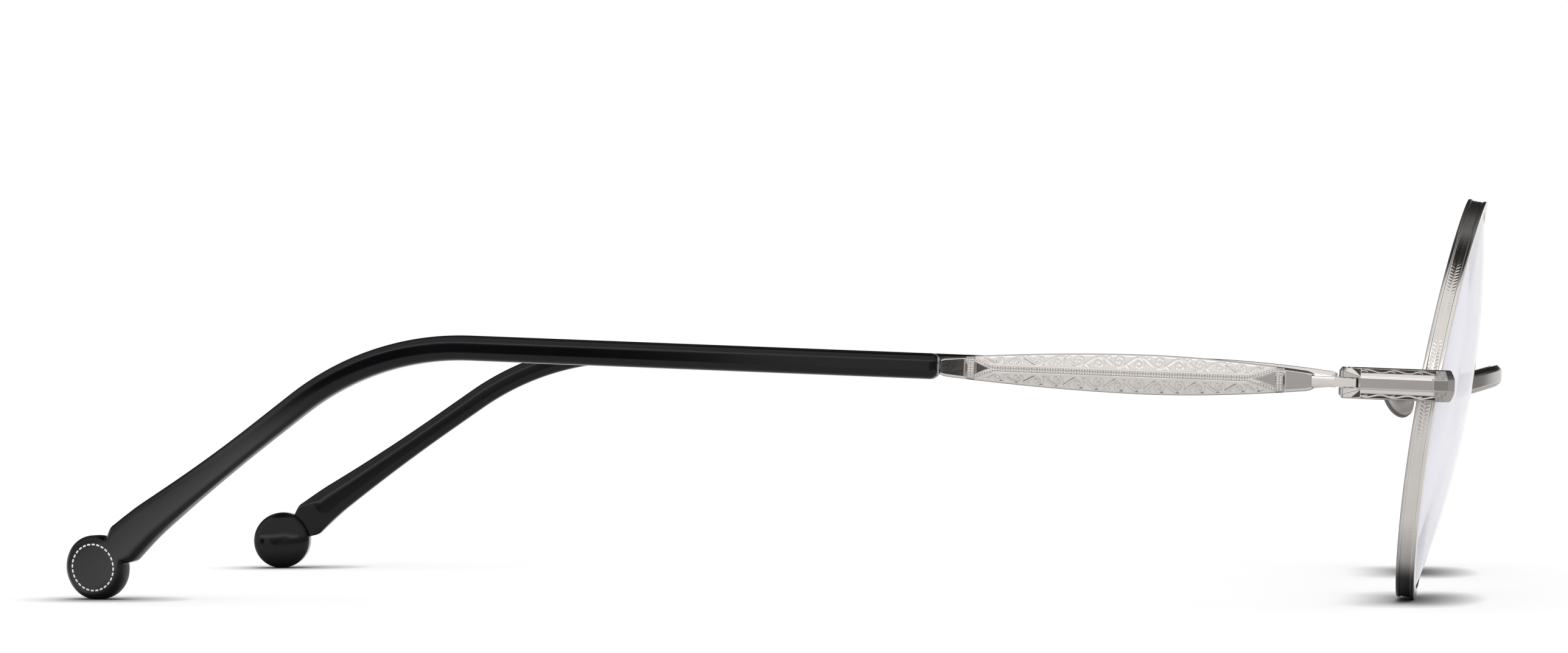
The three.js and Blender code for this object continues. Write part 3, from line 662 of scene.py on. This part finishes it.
def bridge_skin():
    """A ribbon on a parabolic arch: flat behind, rounded at its edges, and in front a row of beads in a
    groove above its lower edge. Tarnish lies in the groove. Shade is painted over the whole face, and
    much darker along the top, standing in for the dark reflections there. Returns the skin and its
    tarnish and painted shade."""
    end = on_rim([-RIM_RADIUS, RIM_DEPTH / 2, BRIDGE_LIFT])
    t = np.linspace(-1, 1, 620)[:, None]
    arch = 1 - t * t
    middle = np.concatenate([
        (end[0] + BRIDGE_OVERLAP) * t, end[1] - BRIDGE_REACH * arch, end[2] + BRIDGE_RISE * arch], -1)
    along = unit(np.gradient(middle, axis=0))
    front = unit(np.cross(along, [0, 0, 1]))
    up = np.cross(front, along)
    height = BRIDGE_HALF * np.linspace(-1, 1, 62)
    edge = BRIDGE_HALF - np.abs(height)
    row = beads(lengths(middle)[:, None], height - BRIDGE_ROW, BRIDGE_PITCH, BRIDGE_BEAD)
    groove = raised(height - BRIDGE_ROW, 0.17)
    face = BRIDGE_HALF_THICK - BRIDGE_FALL * (1 - ramp(edge, -0.1, 0.62))
    crown = BRIDGE_CROWN * (height / BRIDGE_HALF) ** 2
    depth = face - crown - BRIDGE_GROOVE * groove + BRIDGE_RELIEF * row
    behind = rounded([(-BRIDGE_HALF_THICK, BRIDGE_HALF), (-BRIDGE_HALF_THICK, -BRIDGE_HALF)], 0.2)
    thickness = with_back(depth, behind[:, 0])[..., None]
    tall = np.concatenate([height, behind[:, 1]])[None, :, None]
    # Painted shade: the whole face a little darker and the top much darker
    painted_dark_top = 0.7 * ramp(height, 0.6 * BRIDGE_HALF, 0.75 * BRIDGE_HALF)
    tone = BRIDGE_PAINTED_SHADE + np.maximum(0.4 * groove * (1 - row), painted_dark_top)
    rings = middle[:, None] + thickness * front[:, None] + tall * up[:, None]
    return rings, with_back(tone, np.zeros(len(behind)))


# End piece

def end_line():
    """The end piece's outer line in plan, from the fork round the corner to the rim, and the mitred way
    inwards from it, both at steps of even length. Returns the lengths, the line and the ways."""
    shoulder = END_CORNER / 3
    outer = np.array([
        (END_OUTER, FORK_ROOT), (END_OUTER, END_FRONT + END_CORNER),
        (END_OUTER - shoulder, END_FRONT + shoulder),
        (END_OUTER - END_CORNER, END_FRONT), (END_LAP, END_FRONT),
    ])
    sides = unit(np.diff(outer, axis=0))[:, ::-1] * (1, -1)
    before, after = np.vstack([sides[:1], sides]), np.vstack([sides, sides[-1:]])
    mitre = unit(before + after)
    inward = mitre / (mitre * before).sum(1, keepdims=True)
    known = lengths(outer)
    at = np.linspace(0, known[-1], 360)
    even = [np.stack([np.interp(at, known, values) for values in line.T], -1) for line in (outer, inward)]
    return at[:, None], *even


def end_piece_skin():
    """The section is a flat panel with a bright narrow chamfer and an engraved bevel on each side of it,
    swept along the line in plan. The bevels are lowered inside their frames and carry a running wave with
    a tendril in each turn. The corner is plain, dull and mottled with tarnish. Returns the skin and its
    tarnish."""
    length, outer, inward = end_line()
    # Heights from the middle of the face to its edge, closest together on the engraved bevel
    half = np.concatenate([
        np.linspace(0, PANEL_HALF - 0.02, 7), np.linspace(PANEL_HALF + 0.02, CHAMFER_HALF, 9),
        np.linspace(BEVEL_LOW, 1.45, 26), [1.48, 1.52, 1.55, END_HALF]])
    height = np.concatenate([-half[:0:-1], half])
    over = np.abs(height)
    section_heights = [0, PANEL_HALF, CHAMFER_HALF, 1.46, 1.52, END_HALF]
    section_depths = [0, 0, 0.14, 0.36, 0.42, 0.56]
    plain = np.interp(over, section_heights, section_depths)
    inside = ramp(np.minimum(over - BEVEL_LOW, BEVEL_HIGH - over), 0, 0.04)
    panel = inside * ramp(length, 0.05, 0.11) * (1 - ramp(length, PANEL_END, PANEL_END + 0.1))
    turn = 2 * np.pi * length / WAVE_LENGTH
    wave = raised(over - WAVE_MIDDLE - 0.12 * np.sin(turn), 0.07)
    tendril = raised(over - WAVE_MIDDLE - 0.1 * np.sin(turn + 2.3), 0.055) * (np.cos(turn - 0.8) > 0.6)
    scroll = np.maximum(wave, tendril) * panel
    frame_line = raised(over - PANEL_HALF, LINE_WIDTH) + raised(length - CROSS_LINE, 0.05) * (over < 0.62)
    depth = plain + BEVEL_RECESS * panel - BEVEL_RECESS * scroll + LINE_DEPTH * frame_line
    back = np.array([(0.75, END_HALF), (2.05, END_HALF), (END_THICK, END_BACK_HALF)])
    back = np.concatenate([back, back[::-1] * (1, -1)])
    edges = 0.5 * raised(over - PANEL_HALF, LINE_WIDTH) + 0.6 * raised(over - 1.01, LINE_WIDTH)
    edges = edges + 0.7 * ramp(over, 1.45, 1.5)
    mottle = 0.16 + 0.1 * np.sin(9 * length) * np.sin(7 * height + 3 * length)
    corner = (CORNER_DULL + mottle * ramp(over, 0.56, 0.64)) * ramp(length, 7.15, 7.35)
    ground = 0.97 * panel * (1 - np.clip(1.4 * scroll, 0, 1))
    tone = np.maximum(ground, np.maximum(edges, corner))
    depth = with_back(depth, back[:, 0])
    tall = np.concatenate([height, back[:, 1]])
    plan = outer[:, None] + depth[..., None] * inward[:, None]
    rings = np.concatenate([plan, np.broadcast_to(tall[:, None], (*depth.shape, 1))], -1)
    return rings, with_back(tone, np.zeros(len(back)))


def prong_skin(side):
    """One prong of the fork: its outer face is folded along a line that spreads from the panel's corner,
    beside a facet with a pointed recess, and its end is drawn in by a rounded chamfer. Tarnish lies in the
    recess, and the folds and the end are darker. Returns the skin and its tone."""
    y = np.concatenate([
        np.linspace(FORK_ROOT, END_REAR - END_CHAMFER, 46), np.linspace(END_REAR - 0.4, END_REAR, 16)])
    share = (y - FORK_ROOT) / (END_REAR - FORK_ROOT)
    drawn = np.clip((y - END_REAR + END_CHAMFER) / END_CHAMFER, 0, 1) ** 2 * END_CHAMFER
    zero = 0 * y
    corners = np.stack([np.stack(corner, -1) for corner in (
        (0.42 * share + 0.6 * drawn, zero + FORK_HALF),
        (0.02 + 0.12 * share + drawn, PANEL_HALF + 0.7 * share - 0.3 * drawn),
        (0.40 + 0.7 * drawn, 1.5 - 0.8 * drawn),
        (0.60 + drawn, END_HALF - drawn),
        (END_THICK - 0.1 - drawn, END_HALF - drawn),
        (END_THICK - drawn, END_BACK_HALF - drawn),
        (END_THICK - drawn, zero + FORK_HALF),
    )], 1)
    # The facet after the second fold gets points that the pointed recess can lower
    fold_points = 3
    outline = rounded(corners, FOLD_ROUNDING, fold_points)
    start = 2 * fold_points
    first, last = outline[:, start - 1:start], outline[:, start:start + 1]
    t = np.linspace(0, 1, 26)[1:-1]
    facet = first + t[:, None] * (last - first)
    tapered = ramp(0.95 * t - (y[:, None] - FORK_ROOT), 0, 0.06)
    point = tapered * ramp(t, 0.02, 0.1) * (1 - ramp(t, 0.88, 0.96))
    facet[..., 0] += POINT_DEPTH * point
    outline = np.concatenate([outline[:, :start], facet, outline[:, start:]], 1)
    along = np.broadcast_to(y[:, None], outline.shape[:2])
    rings = np.stack([END_OUTER - outline[..., 0], along, side * outline[..., 1]], -1)
    folds = np.outer([0.9, 0.8, 0.8, 0.9, 0, 0, 0.6], [0.3, 1, 0.3]).ravel()
    folds = np.broadcast_to(folds, (len(y), len(folds)))
    tone = np.concatenate([folds[:, :start], 0.96 * point, folds[:, start:]], 1)
    end = 0.8 * raised(y - END_REAR + 0.38, 0.05) + 0.9 * ramp(y, END_REAR - 0.14, END_REAR - 0.05)
    return rings, np.maximum(tone, end[:, None])


# Nose pad

def pad_skins():
    """An oval plate, level by level from its face to its back, each drawn in by an inset, and the flat
    lug behind it that ends in a round eye. The plate's bevels are dark. Returns both skins and their dark
    tones."""
    insets = np.array([0.42, 0.33, 0.05, 0, 0, 0.03, 0.28, 0.36])[:, None]
    levels = np.array([-1.95, -1.94, -1.70, -1.6, -1.3, -1.24, -0.97, -0.95])[:, None]
    tarnish_and_painted_shade = np.array([0, 0.3, 0.95, 0.85, 0.85, 0.95, 0.3, 0])[:, None]
    angle = full_turn(72)
    plate = np.stack([
        (PAD_HALF_WIDTH - insets) * np.cos(angle), (PAD_HALF_HEIGHT - insets) * np.sin(angle),
        levels + 0 * angle], -1)
    round_end = np.linspace(0, np.pi, 20)
    eye = np.stack([LUG_RADIUS * np.cos(round_end), LUG_RADIUS * np.sin(round_end)], -1)
    outline = np.concatenate([eye, [(-LUG_RADIUS, -1.3), (LUG_RADIUS, -1.3)]])
    across = np.array([-LUG_HALF, -LUG_HALF + 0.06, LUG_HALF - 0.06, LUG_HALF])[:, None]
    size = np.array([0.9, 1, 1, 0.9])[:, None]
    lug = np.stack([across + 0 * outline[:, 0], size * outline[:, 0], size * outline[:, 1]], -1)
    return [on_pad(plate), on_pad(lug)], [tarnish_and_painted_shade + 0 * angle, None]


def pad_arm_skin():
    """A round wire along a cubic curve from the rim's rear face to the back of the pad box."""
    start = on_rim([-(EYE_RADIUS + RIM_RADIUS) / 2, RIM_DEPTH, -WIRE_DROP])
    lead = start + (0, 2.4, 0)
    box, beyond = on_pad([(0, 0, 1.31), (0, 0, 3.6)])
    t = np.linspace(0, 1, 40)[:, None]
    path = (1 - t) ** 3 * start + 3 * t * (1 - t) ** 2 * lead + 3 * t ** 2 * (1 - t) * beyond + t ** 3 * box
    along = unit(np.gradient(path, axis=0))
    side = unit(np.cross(along, [1, 0, 0]))
    other = np.cross(along, side)
    angle = full_turn(20)[:, None]
    return path[:, None] + WIRE_RADIUS * (np.cos(angle) * side[:, None] + np.sin(angle) * other[:, None])


# Temple bar

def plate_half(y):
    """Half the plate's height at a length y: widest at its peak, falling off to both ends by a power."""
    reach = np.where(y < PLATE_PEAK, PLATE_PEAK, PLATE_LENGTH - PLATE_PEAK)
    return PLATE_HALF - (PLATE_HALF - PLATE_END_HALF) * (np.abs(y - PLATE_PEAK) / reach) ** PLATE_SWELL


def plate_face(y, z, half):
    """Height of the plate's outer face at a length y and a height z: a roof with a flat ridge. The ridge
    carries two rows of beads that part at both ends round a lowered triangle. The two sides carry lowered
    panels with a vine and a row of notches. Each end has two columns of beads and a plain bevelled cap.
    Returns the height and the tarnish."""
    over, front, rear = np.abs(z), y, PLATE_LENGTH - y
    between = np.minimum(front, rear)
    lower_side = z < 0
    cap = ramp(-between, -CAP_LENGTH, -2.85)
    roof = RIDGE_HEIGHT - ROOF_SLOPE * np.clip(over - RIDGE_HALF, 0, None)

    opening = nearing(front, *OPENING_FRONT) ** 2 + nearing(rear, *OPENING_REAR) ** 2
    inner, outer = PANEL_INNER + OPENING_SPREAD * opening, half - PLATE_BORDER
    inside = np.minimum(over - inner, outer - over)
    panel = ramp(inside, 0, 0.1)
    middle, reach = (inner + outer) / 2, np.maximum((outer - inner) / 2, 0.05)
    stem = vine(y + 0 * z, (over - middle) / reach * VINE_REACH)
    kept = ramp(inside, 0.02, 0.1)
    scroll, beside = raised(stem, VINE_LINE) * kept, raised(stem - 0.15, 0.05) * kept
    apart = np.abs(np.abs(y / VINE_PERIOD % 1 - 0.5) * VINE_PERIOD - NOTCH_PLACE)
    notch = ramp(NOTCH_HALF - apart - (outer - over), 0, 0.08) * ramp(inside, 0, 0.03)
    notch = notch * np.where(lower_side, 1.0, 0.3)

    parting = nearing(front, *PARTING_FRONT) ** PARTING_POWER
    parting = parting + 0.85 * nearing(rear, *PARTING_REAR) ** PARTING_POWER
    line = ROW_HALF + PARTING_SPREAD * parting
    beaded = between > ROW_START
    row = beads(y, over - line, ROW_PITCH, ROW_BEAD) * beaded
    band = raised(over - (line + inner) / 2 - 0.04, 0.11) * (between > BAND_START) * (1 - panel)
    triangle = ramp(line - 0.24 - over, 0, 0.05) * ramp(between, 3.74, BAND_START) * (parting > 0)
    columns = [beads(z, between - place, COLUMN_PITCH, COLUMN_BEAD) for place in COLUMN_PLACES]
    column = np.maximum(*columns) * (over < half - 0.2)
    pillar = ramp(between, 2.9, 3.0) * (1 - ramp(between, 3.66, 3.74)) * (1 - cap)

    field = roof * (1 - cap) - PANEL_SINK * panel + VINE_RELIEF * scroll - NOTCH_DEPTH * notch
    field = field + ROW_RELIEF * row + BAND_RELIEF * band
    lowered = 0.36 + CAP_RISE * (between - 4)
    field += triangle * (lowered - field) - COLUMN_SINK * pillar
    table = np.minimum(np.minimum(half - over, between + 0.05), CAP_LENGTH - between)
    field += cap * (0.12 + (0.26 + CAP_RISE * between) * ramp(table, -0.1, 0.26)) + COLUMN_RELIEF * column
    tone = np.where(lower_side, 0.26, 0.2) * beside + 0.6 * notch
    tone += 0.7 * (1 - row) * raised(over - line, 0.13) * beaded
    tone += 0.4 * pillar * (1 - column) + 0.7 * raised(half - over, 0.09)
    return field, np.clip(tone, 0, 1)


def plate_skin():
    """The leaf-shaped plate: its outer face is the height field above, closed by a flat back with rounded
    edges. Returns the skin and its tarnish."""
    y = np.linspace(0, PLATE_LENGTH, 930)[:, None]
    end = np.minimum(y, PLATE_LENGTH - y)
    half = plate_half(y) * (1 - 0.2 * np.clip(1 - end / 0.8, 0, 1) ** 2)
    share = np.linspace(-1, 1, 98)
    z = half * share * (0.75 + 0.25 * np.abs(share))
    field, tone = plate_face(y, z, half)
    back = np.array([(-0.45, 1), (-0.6, 0.98), (PLATE_BACK, 0.93)])
    back = np.concatenate([back, back[::-1] * (1, -1)])
    out = with_back(field, back[:, 0])
    tall = np.concatenate([z, half * back[:, 1]], 1)
    rings = np.stack([out, np.broadcast_to(PLATE_START + y, out.shape), tall], -1)
    return on_temple(rings), with_back(tone, np.zeros(len(back)))


def strip_skins():
    """The strip in front of the plate as a rounded bar, and the hinge eye as a slab that is round in
    front and flat outside, in line with the strip. Returns both skins and their tarnish."""
    middle, half = (STRIP_OUTER - STRIP_HALF_WIDTH) / 2, (STRIP_OUTER + STRIP_HALF_WIDTH) / 2
    y = np.array([STRIP_START, STRIP_END])[:, None]
    corner = rounded([(1, 1), (-1, 1), (-1, -1), (1, -1)], 0.12)
    across, tall = middle + half * corner[:, 0], STRIP_HALF * corner[:, 1]
    bar = np.stack(np.broadcast_arrays(across, y, tall), -1)
    turn = np.linspace(np.pi, 2 * np.pi - np.arccos(STRIP_OUTER), 30)
    outline = np.concatenate([np.stack([np.cos(turn), np.sin(turn)], -1), [
        (STRIP_OUTER, 0), (STRIP_OUTER, EYE_END), (-STRIP_HALF_WIDTH, EYE_END), (-STRIP_HALF_WIDTH, 0.7)]])
    level = np.array([-EYE_HALF, -EYE_HALF + 0.04, -EYE_HALF + 0.07])
    level = np.concatenate([level, -level[::-1]])[:, None]
    size = np.array([0.96, 1, 1, 1, 1, 0.96])[:, None]
    eye = np.stack(np.broadcast_arrays(size * outline[:, 0], size * outline[:, 1], level), -1)
    skins = [on_temple(bar), on_temple(eye)]
    return skins, [np.full(rings.shape[:2], STRIP_DULL) for rings in skins]


# Sleeve and tip

def temple_line(length):
    """Places and fall of the temple's line: straight, bent down by an arc, straight again, bowed inwards
    by a parabola."""
    fall = np.clip((length - BEND_START) / BEND_RADIUS, 0, BEND_ANGLE)
    rest = np.clip(length - BEND_END, 0, None)
    y = np.minimum(length, BEND_START) + BEND_RADIUS * np.sin(fall) + rest * np.cos(fall)
    z = -BEND_RADIUS * (1 - np.cos(fall)) - rest * np.sin(fall)
    tip = BEND_AT + TAIL_LENGTH * np.cos(BEND_ANGLE)
    bow = -BOW_DEPTH * (np.clip(y - BOW_START, 0, None) / (tip - BOW_START)) ** 2
    return np.stack([bow, y, z], -1), fall


def on_tail(before, out, up):
    """Points at a distance before the tip's centre, outwards and up across the temple's line."""
    place, fall = temple_line(TEMPLE_LENGTH - before)
    up = up - TIP_DROP * ramp(-before, -9, -1)
    return on_temple(place + np.stack([out, up * np.sin(fall), up * np.cos(fall)], -1))


def sleeve_skin():
    """A rounded box along the temple's line that flares towards its end, narrows to a neck and widens
    into a disc. The disc has a flat bevelled face outside and a dome inside; both follow from the
    distance to its outline. The outer face is satin on the tail and carries a painted sheen there, lighter
    in the middle of the face and most of all in its lower half. Returns the skin and its satin and
    painted sheen."""
    start = TEMPLE_LENGTH - SLEEVE_START
    disc_end = TIP_RADIUS * np.cos(np.linspace(np.pi / 2, np.pi, 40))
    # Distances before the tip's centre, from the sleeve's front to the disc's end
    before = np.concatenate([
        start - SLEEVE_NOSE * np.linspace(0, 1, 8), np.linspace(start - 1.2, 13, 130),
        np.linspace(12.8, 5.2, 50), np.linspace(5.1, 2.2, 50), np.linspace(2.1, 0.1, 24),
        disc_end[:-1] * (1 - 1e-9), [-TIP_RADIUS * 0.9999],
    ])[:, None]
    flare = np.clip((FLARE_START - before) / (FLARE_START - FLARE_TOP), 0, 1) ** 2
    shoulder = 0.5 * np.clip((4.5 - before) / 1.3, 0, 1) ** 1.6
    tail = SLEEVE_HALF + (FLARE_HALF - SLEEVE_HALF) * flare - shoulder
    disc = np.sqrt(np.clip(TIP_RADIUS ** 2 - before ** 2, 0, None))
    half = np.where(before > NECK, np.maximum(tail, disc), disc)
    nose = 1 - 0.28 * np.clip(1 - (start - before) / SLEEVE_NOSE, 0, 1) ** 2
    points = 72
    angle = full_turn(points) + np.pi / points
    up = half * nose * bulge(np.sin(angle))
    box = SLEEVE_SIDE * nose * bulge(np.cos(angle))
    radius = np.sqrt(before ** 2 + up ** 2)
    inset = np.maximum(TIP_RADIUS - radius, np.where(before > NECK, tail - np.abs(up), -1))
    level = SLEEVE_SIDE + (TIP_OUTER - SLEEVE_SIDE) * ramp(-before, -26, -4)
    face = level - TIP_BEVEL * np.clip(1 - inset / TIP_BEVEL, 0, 1) ** 1.5
    dome = -DOME_EDGE - DOME_RISE * np.sqrt(np.clip(1 - (radius / TIP_RADIUS) ** 2, 0, 1))
    outside = box + (face - box) * ramp(-before, -26, -8)
    inside = box + (dome - box) * ramp(-before, -6.5, -2.6)
    outer_half = np.cos(angle) > 0
    out = np.where(outer_half, outside, inside)
    # Satin and painted sheen: strongest in the middle of the outer face and in its lower half, on the tail
    # only
    satin_and_painted_sheen = ramp(0.84 - np.abs(up) / half, 0, 0.32) * (0.72 - 0.35 * up / half)
    satin_and_painted_sheen = satin_and_painted_sheen * np.where(before < 8, ramp(inset, 0.2, 0.6), 1) * outer_half * ramp(-before, -34, -20)
    return on_tail(before + 0 * up, out, up), satin_and_painted_sheen


def dash_skins():
    """A ring of short painted dashes on the tip's face, each a flat pill laid along the ring."""
    turn = full_turn(DASHES)[:, None, None]
    long = np.array([-DASH_HALF_LENGTH, -DASH_STRAIGHT, DASH_STRAIGHT, DASH_HALF_LENGTH])[:, None]
    size = np.array([0.5, 1, 1, 0.5])[:, None]
    section = full_turn(8)
    radius = DASH_RING + DASH_HALF_WIDTH * size * np.cos(section)
    angle = turn + long / DASH_RING
    out = TIP_OUTER + DASH_HALF_DEPTH * size * np.sin(section)
    before, up = radius * np.cos(angle), radius * np.sin(angle)
    return list(on_tail(before, np.broadcast_to(out, before.shape), up))


# The whole object

def build_side(side):
    """The dressed pieces of one side, each on its body and in place of its node."""
    common = {"mirrored": side == "right"}
    temple, pad = f"{side}_temple", f"{side}_pad"
    rim, rim_tone = rim_skin()
    make(f"{side}_engraved_rim", [rim], SILVER, "front", "silver", [f"{side}_rim"], [rim_tone], **common)
    make(f"{side}_round_lens", [lens_skin()], LENS, "front", "lens", [f"{side}_lens"], **common)
    ends, end_tones = zip(end_piece_skin(), prong_skin(1), prong_skin(-1))
    make(f"{side}_forked_end_piece", ends, SILVER, "front", "silver", [f"{side}_end_piece"], end_tones,
         crease=28, **common)
    pads, pad_tones = pad_skins()
    make(f"{side}_bevelled_pad", pads, PAD_METAL, pad, "pad", [f"{side}_nose_pad"], pad_tones,
         crease=25, **common)
    make(f"{side}_pad_wire", [pad_arm_skin()], SILVER, "front", "silver", [f"{side}_pad_arm"], **common)
    plate, plate_tone = plate_skin()
    strips, strip_tones = strip_skins()
    make(f"{side}_engraved_plate", [plate, *strips], SILVER, temple, "silver", [f"{side}_temple_bar"],
         [plate_tone, *strip_tones], **common)
    sleeve, satin_and_painted_sheen = sleeve_skin()
    make(f"{side}_black_sleeve", [sleeve], ACETATE, temple, "acetate", [f"{side}_temple_sleeve"], [satin_and_painted_sheen],
         **common)
    make(f"{side}_tip_dashes", dash_skins(), PAINT, temple, "acetate", [], **common)


build_side("left")
build_side("right")
arch, arch_tone = bridge_skin()
make("engraved_bridge", [arch], SILVER, "front", "silver", ["bridge"], [arch_tone])

# Small fittings keep the solids' own shapes
for name, node in frame["nodes"].items():
    if not node.hide_render:
        node.data.materials.clear()
        node.data.materials.append(STEEL if "screw" in name or "wire" in name else SILVER)


# Floor, light and camera

def floor_finish():
    """A white floor that looks white to the eye and in reflections, with the object's shadow on it, cast
    by the light and also painted into its colour and glow from ambient occlusion.
    """
    shadow_reach, shadow_power, glow_strength = 0.0075, 2.6, 0.12
    material, place, principled = shader("white_floor")
    tree = place.tree
    tree.nodes.remove(principled)
    grain = place.noise(30)
    # Painted shadow: ambient occlusion darkens the floor's colour and glow near the object
    shade = place.node("ShaderNodeAmbientOcclusion", {"samples": 8}, {"Distance": shadow_reach}, "AO")
    shade = shade ** shadow_power
    white = grain.mix(grey(0.88), grey(0.9))
    diffuse = place.node("ShaderNodeBsdfDiffuse", {}, {"Color": shade.mix(grey(0.12), white)})
    glow = place.node("ShaderNodeEmission", {}, {
        "Color": shade.mix(grey(0), grey(1)), "Strength": glow_strength})
    bright = place.node("ShaderNodeAddShader", {}, {0: diffuse, 1: glow})
    seen = seen_by(tree, "Camera", "Glossy", "Transmission")
    both = place.node("ShaderNodeMixShader", {}, {0: seen, 1: diffuse, 2: bright})
    tree.links.new(both.socket, tree.nodes["Material Output"].inputs["Surface"])
    return material


def white_floor():
    """A table top, in metres, that ends outside the frame on the camera's side and in front of the
    lenses."""
    near, far = -0.2, 9
    mesh = bpy.data.meshes.new("floor")
    mesh.from_pydata([(near, near, 0), (far, near, 0), (far, far, 0), (near, far, 0)], [], [(0, 1, 2, 3)])
    mesh.materials.append(floor_finish())
    floor = bpy.data.objects.new("floor", mesh)
    bpy.context.scene.collection.objects.link(floor)


def studio_tent():
    """A white tent round the object, as polished surfaces show it. Its ceiling falls off to dark behind
    the object and at its top. Where the camera stands it has a grey window, with a lamp's strip above it
    and a dark gap beside it. The camera, rough surfaces and rays through the lenses meet plain white."""
    tent_white, lamp_white = grey(1.28), grey(3.2)
    world = bpy.data.worlds.new("studio_tent")
    bpy.context.scene.world = world
    world.use_nodes = True
    tree = world.node_tree
    way = Wire(tree, tree.nodes.new("ShaderNodeTexCoord").outputs["Generated"])
    split = tree.nodes.new("ShaderNodeSeparateXYZ")
    tree.links.new(way.socket, split.inputs[0])
    x, y, z = (Wire(tree, socket) for socket in split.outputs)
    round_about = y.maths("ARCTAN2", y, -1.0 * x)
    level = 1.0 - (z * z).step(0.03, 0.1)
    window = round_about.step(-2.4, -2.1) * round_about.step(0.22, 0.14) * level
    gap = round_about.step(0.42, 0.50) * round_about.step(0.82, 0.74) * level
    glass = round_about.step(-0.2, -0.9).mix(grey(0.54), grey(0.36))
    cloth = x.step(0.2, -0.2).mix(grey(1), tent_white)
    wall = gap.mix(window.mix(cloth, glass), grey(0))
    fall = 0.31 * x.step(1.05, -0.1) + 0.69 * x.step(0.3, -0.35)
    ceiling = (fall * z.step(0.99, 0.9)).mix(grey(0.005), tent_white)
    strip = z.step(0.20, 0.23) * z.step(0.33, 0.30)
    lamp = strip * round_about.step(-1.0, -0.9) * round_about.step(0.9, 0.8)
    tent = lamp.mix(z.step(0.1, 0.25).mix(wall, ceiling), lamp_white)
    plain = seen_by(tree, "Diffuse", "Camera", "Transmission")
    tree.links.new(plain.mix(tent, grey(1)).socket, tree.nodes["Background"].inputs["Color"])


def photo_camera():
    """The camera from the solved view: beside the object, level, with the frame raised a little. Its
    focal length and shift are in the photograph's pixels, its place in millimetres."""
    photo_width, focal_length, shift = 2576, 7474, 79.9
    sensor = 36
    distance, before_hinge, height = 517.2, 7.097, 23.916
    turn, roll = np.radians(7.972), np.radians(-0.243)
    ahead = np.array([np.cos(turn), np.sin(turn), 0])
    level, upright = np.array([np.sin(turn), -np.cos(turn), 0]), np.array([0, 0, 1.0])
    right = np.cos(roll) * level + np.sin(roll) * upright
    up = np.cos(roll) * upright - np.sin(roll) * level
    camera = bpy.data.objects.new("camera", bpy.data.cameras.new("camera"))
    camera.data.sensor_width = sensor
    camera.data.lens = sensor * focal_length / photo_width
    camera.data.shift_y = shift / photo_width
    place = np.eye(4)
    place[:3, 0], place[:3, 1], place[:3, 2] = right, up, -ahead
    place[:3, 3] = np.array([-distance, HINGE_Y - before_hinge, height]) * MILLIMETRE
    camera.matrix_world = Matrix(place.tolist())
    bpy.context.scene.collection.objects.link(camera)
    bpy.context.scene.camera = camera


white_floor()
studio_tent()
photo_camera()
bpy.context.scene.view_settings.view_transform = "Standard"
